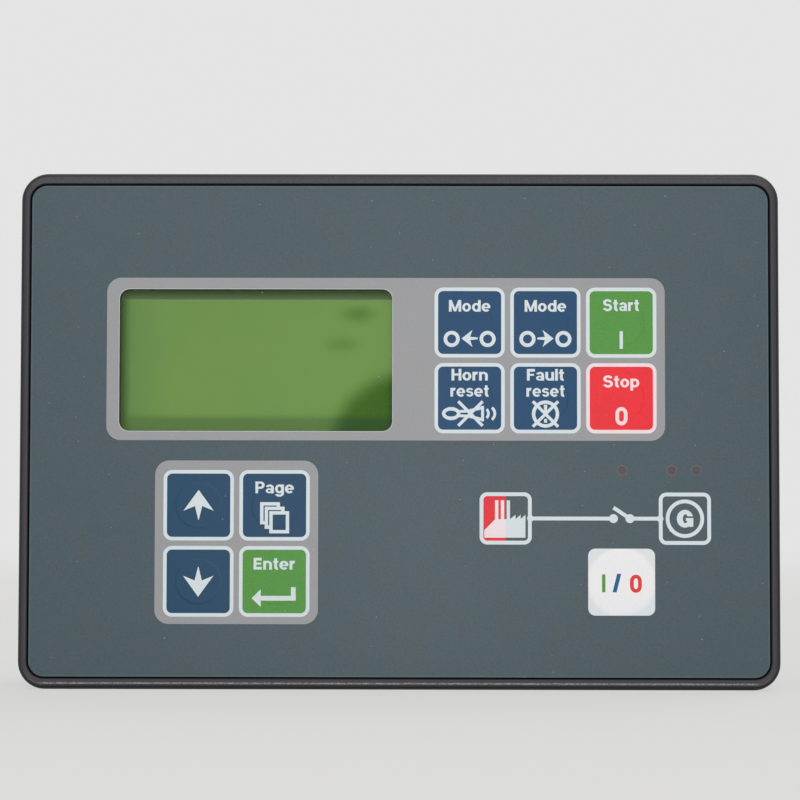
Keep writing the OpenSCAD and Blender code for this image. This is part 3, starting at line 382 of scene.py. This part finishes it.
# Keypad film: one sheet of polyester, printed on its back and stuck down in the recess of the bezel.
# A fine matt texture dulls its front, a disc with soft edges is raised over each key, and some dust lies
# on it.
def film_finish(name, ink, zones=(), mottle=1.0):
    """Ink seen through the film; each zone is a mask of the coordinates, its sizes and its own ink."""
    finish, sockets, place = new_finish(name, Specular_IOR_Level=0.17)
    for mask, sizes, zone_colour in zones:
        ink = mask(place, *sizes).between(ink, zone_colour)
    matt = place.noise(0.16, 2.0)
    grain = place.noise(0.45, 2.0)
    clouds = place.noise(40.0, 2.0)
    warm = (1 + 0.03 * mottle, 1.0, 1 - 0.02 * mottle, 1.0)
    cool = (1 - 0.03 * mottle, 1.0, 1 + 0.02 * mottle, 1.0)
    hue = place.noise(7.0, 2.0).step(0.35, 0.65).between(warm, cool)
    tone = 1.0 + mottle * (0.06 * matt.step(0.3, 0.7) + 0.1 * grain.step(0.3, 0.7) + 0.04 * clouds - 0.1)
    tinted = place.node("Mix", {"data_type": "RGBA", "blend_type": "MULTIPLY"}, {0: 1.0, 6: ink, 7: hue}, 2)
    print_colour = place.node("VectorMath", {"operation": "SCALE"}, {0: tinted, "Scale": tone})
    speck = 0.6 * dust(place, 7.0, 0.3)
    place.feed(sockets["Base Color"], speck.between(print_colour, paint(205, 212, 216)))
    place.feed(sockets["Roughness"], 0.4 + 0.14 * (matt - 0.5) + 0.08 * (clouds - 0.5))
    facing = place.node("NewGeometry", None, None, "Normal")
    ease = 0.75 * (facing.axis("Y") < -0.8)
    eased = place.node("Mix", {"data_type": "VECTOR"}, {0: ease, 4: facing, 5: (0.0, -1.0, 0.0)}, 1)
    eased = place.node("VectorMath", {"operation": "NORMALIZE"}, {0: eased})
    place.feed(sockets["Normal"], matt.bump(0.008, normal=eased))
    return finish


def box_mask(place, left, foot, right, head):
    """1 between these sides, in millimetres."""
    beside = (place.axis("X") > left * mm) * (place.axis("X") < right * mm)
    return beside * (place.axis("Z") > foot * mm) * (place.axis("Z") < head * mm)


# Painted highlight: the outer 0.35 mm of the film is printed lighter than the rest, for the light on its
# cut edge.
edge_highlight_width = 0.35
inner_box = (film_low.x / mm + edge_highlight_width, film_low.z / mm + edge_highlight_width, film_high.x / mm - edge_highlight_width,
             film_high.z / mm - edge_highlight_width)
inner_zone = (box_mask, inner_box, paint(66, 81, 88))
cover(["keypad_film"], film_finish("slate_film", paint(76, 91, 98), [inner_zone], mottle=1.6))


# Print: fields of ink, one node for each ink, seen through the matt film.
# Grey grounds, blue, green and red keys. The pale ink is whiter on the breaker key's disc, takes a blush
# round the stop key and over the red half of the load's box, and is thin in the line round the window.
def disc_mask(place, x, z, radius):
    """1 on a disc with a soft edge, in millimetres."""
    blur = 0.55
    return 1.0 - place.reach(x * mm, z * mm).step((radius - blur) * mm, (radius + blur) * mm)


def button_place(key):
    """Middle of a key on the film."""
    low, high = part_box("key_button_" + key)
    return (low.x + high.x) / 2, (low.z + high.z) / 2


def key_box(first, last):
    """Sides of the ground of these keys, in millimetres: left, foot, right, head."""
    (x0, z0), (x1, z1) = button_place(first), button_place(last)
    return (min(x0, x1) / mm - key_reach, min(z0, z1) / mm - key_reach, max(x0, x1) / mm + key_reach,
            max(z0, z1) / mm + key_reach)


mimic_z = -20.8
load_x = 25.25
source_x = 67.65
works_reach = 5.3
key_reach = 9.0
breaker_disc_r = 7.4
white_r = breaker_disc_r + 0.6
breaker_centre = [centre / mm for centre in button_place("breaker")]
breaker_box = key_box("breaker", "breaker")
works_box = (load_x - works_reach, mimic_z - works_reach, load_x, mimic_z + works_reach)
line_reach = 1.0
window_edge = [side / mm for side in (sight_left, sight_foot, sight_right, sight_head)]
window_box = [window_edge[0] - line_reach, window_edge[1] - line_reach, window_edge[2] + line_reach,
              window_edge[3] + line_reach]
pale_zones = [
    (box_mask, breaker_box, paint(211, 215, 219)),
    (disc_mask, (*breaker_centre, white_r), paint(226, 225, 228)),
    (box_mask, works_box, paint(225, 211, 217)),
    (box_mask, key_box("stop", "stop"), paint(227, 208, 213)),
    (box_mask, window_box, paint(180, 186, 190)),
]
pale_ink = film_finish("pale_ink", paint(202, 211, 216), pale_zones, mottle=0.4)
cover(["print_grey"], film_finish("grey_ink", paint(145, 145, 148), mottle=0.55))
cover(["print_pale"], pale_ink)
command_zone = (box_mask, key_box("mode_left", "fault_reset"), paint(2, 61, 99))
cover(["print_blue"], film_finish("blue_ink", paint(9, 60, 91), [command_zone], mottle=1.3))
green_ink = film_finish("green_ink", paint(74, 137, 54), mottle=1.5)
cover(["print_green"], green_ink)
red_zones = [(box_mask, works_box, paint(212, 33, 47)), (box_mask, breaker_box, paint(212, 40, 46))]
red_ink = film_finish("red_ink", paint(223, 33, 46), red_zones)
cover(["print_red"], red_ink)

# Signs of the keys: plain words and figures in pale ink over the coloured fields.
# They are drawn here as bars, arcs and outlines, and follow the raised disc of each key.
key_lift = 0.1
lift_slope = 0.35
disc_r = 5.2
sign_t = 0.05
film_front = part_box("keypad_film")[0].y + key_lift * mm
ring_points = 72
digits = 4
weld = 1e-5


def bar(x0, z0, x1, z1, width):
    """Straight stroke."""
    along = Vector((x1 - x0, z1 - z0)).normalized() * width / 2
    side = Vector((-along.y, along.x))
    return [[(x0 + side.x, z0 + side.y), (x1 + side.x, z1 + side.y), (x1 - side.x, z1 - side.y),
             (x0 - side.x, z0 - side.y)]]


def oval(x, z, radius_x, radius_z, start=0, end=360, points=ring_points):
    """Points of an elliptical arc, with the angles in degrees."""
    count = points if end - start == 360 else points + 1
    turns = [math.radians(start + (end - start) * i / points) for i in range(count)]
    return [(x + radius_x * math.cos(a), z + radius_z * math.sin(a)) for a in turns]


def arc(x, z, radius_x, radius_z, start, end, width, flat=None):
    """Curved stroke, with its radii at the middle; flat is its width where it runs level."""
    half_x, half_z = width / 2, (flat or width) / 2
    count = max(6, round(abs(end - start) / 9))
    outer = oval(x, z, radius_x + half_x, radius_z + half_z, start, end, count)
    inner = oval(x, z, radius_x - half_x, radius_z - half_z, start, end, count)
    return [outer + inner[::-1]]


def ring(x, z, radius_x, radius_z, width, flat=None):
    """Closed curved stroke, with its radii at the middle; flat is its width where it runs level."""
    half_x, half_z = width / 2, (flat or width) / 2
    outer = oval(x, z, radius_x + half_x, radius_z + half_z)
    inner = oval(x, z, radius_x - half_x, radius_z - half_z)
    return [outer, inner]


def holds(loops, x, z):
    """Whether a point lies inside closed outlines, holes left out."""
    inside = False
    for loop in loops:
        for (x0, z0), (x1, z1) in zip(loop, loop[1:] + loop[:1]):
            if (z0 > z) != (z1 > z) and x < x0 + (z - z0) * (x1 - x0) / (z1 - z0):
                inside = not inside
    return inside


def print_sign(name, shapes, centre, disc, finish):
    """One closed sheet of ink from overlapping shapes, in millimetres from its centre on the film."""
    loops = [loop for shape in shapes for loop in shape]
    if disc:
        loops += [oval(0, 0, disc, disc), oval(0, 0, disc + lift_slope, disc + lift_slope)]
    corners, edges = [], []
    for loop in loops:
        first = len(corners)
        corners += [Vector((round(x, digits), round(z, digits))) for x, z in loop]
        edges += [(first + i, first + (i + 1) % len(loop)) for i in range(len(loop))]
    flat, _, triangles, *_ = delaunay_2d_cdt(corners, edges, [], 0, weld)
    kept = []
    for triangle in triangles:
        x, z = sum((flat[i] for i in triangle), Vector((0, 0))) / 3
        if any(holds(shape, x, z) for shape in shapes):
            kept.append(triangle)
    mesh = bmesh.new()
    sheets = []
    for proud in (sign_t, 0):
        sheet = {}
        for i in sorted({i for triangle in kept for i in triangle}):
            x, z = flat[i]
            climb = min(max((disc + lift_slope - math.hypot(x, z)) / lift_slope, 0), 1) if disc else 0
            y = film_front - (climb * key_lift + proud) * mm
            sheet[i] = mesh.verts.new((centre[0] + x * mm, y, centre[1] + z * mm))
        sheets.append(sheet)
    front, back = sheets
    used = {}
    for triangle in kept:
        for a, b in zip(triangle, triangle[1:] + triangle[:1]):
            used[(a, b)] = triangle
        mesh.faces.new([front[i] for i in triangle])
        mesh.faces.new([back[i] for i in reversed(triangle)])
    for a, b in used:
        if (b, a) not in used:
            mesh.faces.new([front[b], front[a], back[a], back[b]])
    bmesh.ops.recalc_face_normals(mesh, faces=mesh.faces)
    data = bpy.data.meshes.new(name)
    mesh.to_mesh(data)
    mesh.free()
    piece = bpy.data.objects.new(name, data)
    bpy.context.scene.collection.objects.link(piece)
    data.materials.append(finish)
    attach(piece, "controller")


# Letters: strokes with square ends, drawn on a cap height of 2.75 mm and an x-height of 2.05 mm.
# Their curves thin out where they run level. Each letter gives its strokes and its width; a word is
# stretched to its place on the key.
stroke = 0.64
thin = 0.48
cap = 2.75
cap_top = cap - stroke / 2
x_top = 2.05
foot_z = stroke / 2
stem = stroke / 2
round_w = 2.05


def letter(sign):
    """Strokes of one letter and its width."""
    bowl = ring(1.02, 1.02, 0.71, 0.79, stroke, thin)
    left_stem = bar(stem, 0, stem, x_top, stroke)
    tall_stem = bar(stem, 0, stem, cap, stroke)
    arm_top = bar(0, cap_top, 1.85, cap_top, stroke)
    shapes = {
        "o": ([bowl], round_w),
        "d": ([bowl, bar(1.75, 0, 1.75, cap, stroke)], round_w),
        "p": ([bowl, bar(stem, -0.75, stem, x_top, stroke)], round_w),
        "g": ([bowl, bar(1.75, -0.1, 1.75, x_top, stroke),
               arc(1.02, -0.06, 0.73, 0.5, -165, 0, stroke, thin)], round_w),
        "e": ([arc(1.02, 1.02, 0.73, 0.8, 0, 318, stroke, thin), bar(0.3, 1.0, 2.0, 1.0, 0.36)], round_w),
        "a": ([arc(0.98, 1.3, 0.62, 0.52, 0, 162, stroke, thin), bar(1.6, 0, 1.6, 1.35, stroke),
               ring(0.88, 0.58, 0.58, 0.4, 0.5, 0.36)], 1.95),
        "n": ([left_stem, arc(1.0, 1.22, 0.7, 0.6, 0, 180, stroke, thin),
               bar(1.7, 0, 1.7, 1.25, stroke)], 2.0),
        "u": ([bar(stem, 0.8, stem, x_top, stroke), arc(1.0, 0.83, 0.7, 0.6, 180, 360, stroke, thin),
               bar(1.7, 0, 1.7, x_top, stroke)], 2.0),
        "r": ([left_stem, arc(1.0, 1.12, 0.7, 0.64, 75, 165, stroke)], 1.25),
        "l": ([tall_stem], 0.6),
        "t": ([bar(0.58, 0.5, 0.58, 2.65, stroke), bar(0, 1.82, 1.2, 1.82, 0.42),
               arc(0.98, 0.58, 0.4, 0.3, 180, 285, stroke)], 1.2),
        "s": ([arc(0.86, 1.455, 0.57, 0.385, 15, 270, 0.54, 0.42),
               arc(0.86, 0.64, 0.59, 0.43, -165, 90, 0.54, 0.42)], 1.72),
        "S": ([arc(1.05, 1.995, 0.76, 0.565, 15, 270, stroke, 0.52),
               arc(1.05, 0.825, 0.8, 0.605, -165, 90, stroke, 0.52)], 2.15),
        "M": ([tall_stem, bar(2.6, 0, 2.6, cap, stroke), bar(0.42, cap - 0.1, 1.45, 0.1, 0.54),
               bar(2.48, cap - 0.1, 1.45, 0.1, 0.54)], 2.9),
        "H": ([tall_stem, bar(1.95, 0, 1.95, cap, stroke), bar(0, 1.42, 2.2, 1.42, 0.48)], 2.25),
        "F": ([tall_stem, arm_top, bar(0, 1.36, 1.62, 1.36, 0.46)], 1.8),
        "E": ([tall_stem, arm_top, bar(0, 1.4, 1.75, 1.4, 0.46),
               bar(0, foot_z, 1.9, foot_z, stroke)], 1.95),
        "P": ([tall_stem, bar(0, 2.5, 1.25, 2.5, 0.5), bar(0, 1.28, 1.25, 1.28, 0.5),
               arc(1.2, 1.89, 0.62, 0.61, -90, 90, stroke, 0.5)], 2.1),
    }
    return shapes[sign]


letter_gap = 0.26
printed_cap = 2.78


def word(text, width, baseline):
    """A word centred on the key, stretched to its measured width."""
    shapes, x = [], 0.0
    for sign in text:
        strokes, advance = letter(sign)
        shapes += [(shape, x) for shape in strokes]
        x += advance + letter_gap
    natural = x - letter_gap
    spread = width / natural
    rise = printed_cap / cap
    return [[[((px + shift - natural / 2) * spread, pz * rise + baseline) for px, pz in loop]
             for loop in shape] for shape, shift in shapes]


def turned(shapes, angle):
    """Shapes turned about the centre of the key."""
    c, s = math.cos(math.radians(angle)), math.sin(math.radians(angle))
    return [[[(c * x - s * z, s * x + c * z) for x, z in loop] for loop in shape] for shape in shapes]


def moved(shapes, dx, dz, mirror=1):
    """Shapes moved, and turned left to right where mirror is -1."""
    return [[[(mirror * x + dx, z + dz) for x, z in loop] for loop in shape] for shape in shapes]


def mode_figure(side):
    """Two lamps with an arrow from one to the other."""
    lamps = [ring(x, -0.12, 1.49, 1.49, 0.86) for x in (-4.27, 4.27)]
    arrow = [[(-1.93, 0), (0.66, 2.0), (0.12, 0.4), (1.93, 0.2), (1.93, -0.2), (0.12, -0.4), (0.66, -2.0)]]
    return moved(lamps + [arrow], 0, -3.8, side)


def scroll_arrow():
    """Barbed arrow that points up."""
    right = [(3.6, -1.32), (0.86, -0.2), (0.07, -3.42)]
    return [[[(0, 3.64)] + right + [(-x, z) for x, z in reversed(right)]]]


def crossed(x, z, reach):
    """Two strokes that cross out what lies under them."""
    width = 0.72
    return [bar(x - reach, z + slant * reach, x + reach, z - slant * reach, width) for slant in (-1, 1)]


def horn_figure():
    """Bulb horn with two sound waves, crossed out."""
    drop = -3.68
    bulb = ring(-4.38, drop, 1.77, 1.13, 0.84)
    tube = []
    for side in (-1, 1):
        tube += [bar(-2.6, drop + side * 0.5, -0.3, drop + side * 0.6, 0.66),
                 bar(-0.5, drop + side * 0.55, 3.05, drop + side * 1.42, 0.72)]
    bell = bar(3.07, drop - 1.82, 3.07, drop + 1.82, 0.68)
    waves = [arc(3.0, drop, 1.46, 1.46, -45, 45, 0.64), arc(4.18, drop, 1.8, 1.8, -52, 52, 0.66)]
    return [bulb, bell] + tube + waves + crossed(0.2, drop, 2.9)


def fault_figure():
    """Call mark in a circle, crossed out."""
    drop = -3.76
    mark = [[(-0.42, drop + 2.2), (0.42, drop + 2.2), (0.3, drop), (-0.3, drop)]]
    dot = bar(0, drop - 2.05, 0, drop - 1.15, 0.7)
    return [ring(0, drop, 2.82, 2.82, 0.82), mark, dot] + crossed(0, drop, 3.0)


def page_figure():
    """Three pages, one behind the other."""
    line = 0.8
    page_w, page_h = 4.7, 5.26
    step_x, step_z = 1.09, 1.065
    x, z = -1.23, -6.64
    pages = []
    for i in range(3):
        left, low = x - step_x * i, z + step_z * i
        right, top = left + page_w, low + page_h
        foot_end, side_end = (left + step_x, top - step_z) if i else (right, low)
        pages += [bar(left, top - line / 2, right, top - line / 2, line),
                  bar(left + line / 2, low, left + line / 2, top, line),
                  bar(left, low + line / 2, foot_end, low + line / 2, line),
                  bar(right - line / 2, side_end, right - line / 2, top, line)]
    return pages


def enter_figure():
    """Arrow that comes down and turns to the left."""
    shaft = 1.12
    head = [[(-5.34, -3.95), (-3.18, -1.86), (-3.18, -6.04)]]
    return [head, bar(-3.3, -3.96, 5.12, -3.96, shaft), bar(4.52, -4.5, 4.52, -1.36, shaft)]


def nought(x, z, radius_x, radius_z, width):
    """Upright ring with straight sides."""
    end_h = 1.15 * radius_x
    straight = radius_z - end_h
    ends = [arc(x, z + side * straight, radius_x, end_h, 90 - side * 90, 270 - side * 90, width)
            for side in (-1, 1)]
    sides = [bar(x + side * radius_x, z - straight, x + side * radius_x, z + straight, width)
             for side in (-1, 1)]
    return ends + sides


pale_signs = {
    "mode_left": word("Mode", 9.85, 2.58) + mode_figure(1),
    "mode_right": word("Mode", 9.85, 2.58) + mode_figure(-1),
    "start": word("Start", 8.5, 2.76) + [bar(0, -6.24, 0, -2.05, 0.78)],
    "horn_reset": word("Horn", 8.6, 4.18) + word("reset", 9.1, 0.35) + horn_figure(),
    "fault_reset": word("Fault", 8.8, 4.18) + word("reset", 9.05, 0.35) + fault_figure(),
    "stop": word("Stop", 8.5, 2.6) + nought(0, -4.25, 1.0, 1.74, 0.86),
    "up": scroll_arrow(),
    "down": turned(scroll_arrow(), 180),
    "page": word("Page", 9.1, 2.86) + page_figure(),
    "enter": word("Enter", 9.82, 2.8) + enter_figure(),
}
for key, shapes in pale_signs.items():
    print_sign("sign_" + key, shapes, button_place(key), disc_r, pale_ink)

# Signs of the breaker key: a stroke for closed and a ring for open, with a slash between.
# Green, blue and red ink on the pale key, whose raised disc fills most of it.
blue_ink = film_finish("sign_blue", paint(0, 85, 128))
slash = [[(-2.16, -2.4), (-1.2, -2.4), (-0.11, 1.98), (-1.07, 1.98)]]
breaker_signs = [
    ("closed", [bar(-4.24, -2.4, -4.24, 1.82, 0.78)], green_ink, "green_ink"),
    ("slash", [slash], blue_ink, "blue_ink"),
    ("open", nought(3.36, -0.36, 0.95, 1.7, 0.88), red_ink, "red_ink"),
]
for name, shapes, finish, slot in breaker_signs:
    print_sign("sign_breaker_" + name, shapes, button_place("breaker"), breaker_disc_r, finish)

# Signs of the mimic diagram: works in the box of the load, a letter in the circle of the generator.
# Pale ink straight on the flat film; the works lie over the red half of their box.
load_place = (load_x * mm, mimic_z * mm)
source_place = (source_x * mm, mimic_z * mm)
stack_w = 0.8
stacks = [bar(x, -0.5, x, 4.28, stack_w) for x in (-2.12, -0.75, 0.62)]
roof_peaks = [(2.33, 0.88), (3.55, 0.88), (4.7, 0.88)]
valley_z = -0.16
works = [(-5.05, -4.56), (-5.05, -2.8), (-2.5, -0.22), (1.04, valley_z)]
for i, (x, z) in enumerate(roof_peaks):
    works.append((x, z))
    if i < len(roof_peaks) - 1:
        works.append((x, valley_z))
works.append((4.66, -4.56))
print_sign("sign_load", stacks + [[works]], load_place, None, pale_ink)
spur = [(1.19, -1.92), (1.98, -1.92), (1.98, 0.18), (0.21, 0.18), (0.21, -0.52), (0.5, -0.52)]
letter_g = [oval(0.02, 0, 1.94, 2.11, 16, 298) + spur + oval(0.1, 0, 0.59, 1.05, 320, 34)]
print_sign("sign_source", [letter_g], source_place, None, pale_ink)
junction_r = 0.78
junction_reach = 5.85
junction = [oval(0, 0, junction_r, junction_r)]
for name, x in (("load", load_x + junction_reach), ("source", source_x - junction_reach)):
    print_sign("sign_junction_" + name, [junction], (x * mm, mimic_z * mm), None, pale_ink)

# Lamp windows: round spots of thin tinted ink over the three lamps, each inside a faint pale ring.
# The lamps are off, so the spots look dull red-brown; they are printed a little above the lamps' middle.
spot_tint = film_finish("lamp_tint", paint(76, 68, 74))
spot_ring = film_finish("lamp_ring", paint(92, 92, 97))
spot_r = 1.0
ring_r = spot_r + 0.14
ring_w = 0.22
spot_rise = 0.18 * mm
for lamp in LAMPS:
    low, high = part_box("status_lamp_" + lamp)
    middle = ((low.x + high.x) / 2, (low.z + high.z) / 2 + spot_rise)
    print_sign("lamp_spot_" + lamp, [[oval(0, 0, spot_r, spot_r)]], middle, None, spot_tint)
    halo = ring(0, 0, ring_r, ring_r, ring_w)
    print_sign("lamp_ring_" + lamp, [halo], middle, None, spot_ring)


# Panel gasket: a frame of closed-cell rubber foam, die-cut and stuck to the back of the bezel.
# Its cut edge and faces show small open cells.
def foam_finish():
    """Black foam with cells of 0.45 mm."""
    cell = 0.45 * mm
    finish, sockets, place = new_finish("foam", Specular_IOR_Level=0.25)
    cells = place.node("TexVoronoi", None, {"Vector": place, "Scale": 1 / cell})
    place.feed(sockets["Base Color"], cells.step(0.1, 0.6).between(paint(24, 24, 25), paint(46, 46, 47)))
    place.feed(sockets["Roughness"], 0.75 + 0.2 * cells)
    place.feed(sockets["Normal"], cells.bump(0.08))
    return finish


cover(["panel_gasket"], foam_finish())


# Supply and measuring parts on the terminal board: potted transformers, a capacitor can, a wound choke.
# Soldered through the board; they show only through the ventilation slots.
potting = moulded("potting_blue", paint(44, 62, 100), 0.4, 0.8, 0.01)
cover(["current_transformer_" + str(i) for i in (1, 2, 3)], potting)
cover(["supply_capacitor"], moulded("can_sleeve", paint(42, 47, 58), 0.3, 1.5, 0.006, Coat_Weight=0.4))


def winding_finish():
    """Enamelled wire wound round the ring of the choke."""
    wire_turns = 44.0
    finish, sockets, place = new_finish("copper_winding", Metallic=0.8)
    low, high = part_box("supply_choke")
    middle = place.node("VectorMath", {"operation": "SUBTRACT"}, {0: place, 1: (low + high) / 2})
    turn = middle.sum("ARCTAN2", middle.axis("Z"), middle.axis("X"))
    wires = middle.node("Math", {"operation": "SINE"}, {0: turn * wire_turns})
    # Painted shade and highlight: each turn is darker in the grooves and lighter on its crest.
    place.feed(sockets["Base Color"], wires.step(-1.0, 1.0).between(paint(96, 48, 22), paint(196, 116, 62)))
    place.feed(sockets["Roughness"], 0.3 + 0.1 * place.noise(1.5))
    place.feed(sockets["Normal"], wires.bump(0.12))
    return finish


cover(["supply_choke"], winding_finish())

# Terminals: fixed headers on the terminal board, and the plugs that take the wires, in green.
# Self-extinguishing polyamide, moulded with a fine matt grain; slotted steel screws clamp the wires.
STRIPS = ["outputs", "voltage", "inputs", "sensors"]
header_green = moulded("header_green", paint(52, 124, 72), 0.45, 0.3, 0.015)
cover(["terminal_header_" + strip for strip in STRIPS], header_green)
terminal_green = moulded("terminal_green", paint(62, 146, 84), 0.42, 0.3, 0.015)
cover(["terminal_plug_" + strip for strip in STRIPS], terminal_green)
cover(["terminal_screws"], zinc)

# Rear housing and module cover: the moulded back, screwed to the bezel through four corner posts.
# The same glass-filled plastic as the bezel, with a coarser grain; the cover snaps into its bay.
cover(["rear_housing"], moulded("housing_plastic", paint(56, 56, 59), 0.74, 0.5, 0.04))
cover(["module_cover"], moulded("cover_plastic", paint(48, 48, 51), 0.64, 0.4, 0.03))
cover(["housing_screws", "board_screws"], zinc)

# Studio: a pale floor under the lower edge of the frame, soft light from above the camera and from behind,
# and a small lamp beside the lens that lifts the middle of the face. Floor and world show the camera, gloss
# and glass the same pale grey; the floor keeps part of the shadow, and the clear pane mirrors a dark lens.
backdrop = paint(228, 228, 228)
floor_data = bpy.data.meshes.new("floor")
floor_half = 3.0
floor_gap = 0.05 * mm
floor_z = cad_box[0][2] - floor_gap
floor_sides = ((-1, -1), (1, -1), (1, 1), (-1, 1))
floor_corners = [(x * floor_half, y * floor_half, floor_z) for x, y in floor_sides]
floor_data.from_pydata(floor_corners, [], [(0, 1, 2, 3)])
floor = bpy.data.objects.new("floor", floor_data)
bpy.context.scene.collection.objects.link(floor)


def seen_rays(tree):
    """1 for the rays of the camera, of gloss and of glass."""
    rays = Wire(tree).node("LightPath").socket.node.outputs
    seen = Wire(tree, rays["Is Camera Ray"])
    for name in ("Is Glossy Ray", "Is Transmission Ray"):
        seen = seen.sum("MAXIMUM", seen, Wire(tree, rays[name]))
    return seen


floor_finish, floor_sockets, place = new_finish("studio_floor", Roughness=0.9, Specular_IOR_Level=0.0)
floor_tree = floor_finish.node_tree
paper = place.noise(12.0, 3.0)
near_floor = paper.between(paint(213, 211, 203), paint(217, 215, 207))
far_floor = place.node("VectorMath", {"operation": "LENGTH"}, {0: place}, "Value").step(0.4, 2.4)
place.feed(floor_sockets["Base Color"], far_floor.between(near_floor, paint(244, 244, 244)))
glow = place.node("Emission", None, {"Color": backdrop})
glow_share = 0.7
floor_surface = Wire(floor_tree, floor_tree.nodes["Principled BSDF"].outputs[0])
glow_mask = glow_share * seen_rays(floor_tree)
floor_mix = place.node("MixShader", None, {0: glow_mask, 1: floor_surface, 2: glow})
place.feed(floor_tree.nodes["Material Output"].inputs["Surface"], floor_mix)
floor_data.materials.append(floor_finish)

world = bpy.data.worlds.new("studio")
world.use_nodes = True
bpy.context.scene.world = world
sky = Wire(world.node_tree)
glossy = sky.node("LightPath", output="Is Glossy Ray")
towards = sky.node("TexCoord", output="Generated")
# The lens itself, then two faint dark things beside it: direction, half width and height, blur, depth.
MIRRORED = [((-0.0046, 0.029), (0.031, 0.031), 0.16, 1.0), ((-0.0245, 0.0838), (0.0055, 0.0025), 0.9, 0.58),
            ((-0.0312, 0.0716), (0.0055, 0.0021), 0.9, 0.42)]
in_front = glossy * (towards.axis("Y") < 0.0)
shown = backdrop
for (x, z), (half_x, half_z), blur, depth in MIRRORED:
    dark = depth * in_front * (1.0 - towards.reach(x, z, half_x, half_z).step(1 - blur, 1 + blur))
    shown = dark.between(shown, paint(24, 24, 26))
sky_level = 0.5
sky.feed(world.node_tree.nodes["Background"].inputs["Color"],
         seen_rays(world.node_tree).between((sky_level, sky_level, sky_level, 1.0), shown))

SUNS = [("key_light", (0.0, -1.0, 0.37), 1.2, 22), ("back_light", (0.5, 1.0, 1.5), 0.7, 40)]
for name, source, strength, spread in SUNS:
    sun = bpy.data.lights.new(name, "SUN")
    sun.energy = strength
    sun.angle = math.radians(spread)
    lamp = bpy.data.objects.new(name, sun)
    lamp.rotation_euler = Vector(source).to_track_quat("Z", "Y").to_euler()
    bpy.context.scene.collection.objects.link(lamp)
front_data = bpy.data.lights.new("front_light", "AREA")
front_data.shape = "DISK"
front_data.size = 0.05
front_data.energy = 0.7
front_light = bpy.data.objects.new("front_light", front_data)
front_light.location = (0.0, -0.6, -0.032)
front_light.rotation_euler = (math.radians(90), 0.0, 0.0)
bpy.context.scene.collection.objects.link(front_light)

# Camera: a long lens 0.6 m in front of the face, a little below its middle, as in the photograph.
# Its place and turn come from the corners of the frame and of the film in the 800 by 800 picture.
camera_data = bpy.data.cameras.new("camera")
camera_data.sensor_fit = "HORIZONTAL"
camera_data.sensor_width = 36.0
camera_data.lens = 112.366
camera = bpy.data.objects.new("camera", camera_data)
camera.location = (0.00472, -0.6, -0.02219)
camera.rotation_euler = [math.radians(angle) for angle in (92.845, -0.101, 0.434)]
bpy.context.scene.collection.objects.link(camera)
bpy.context.scene.camera = camera
bpy.context.scene.view_settings.view_transform = "Standard"
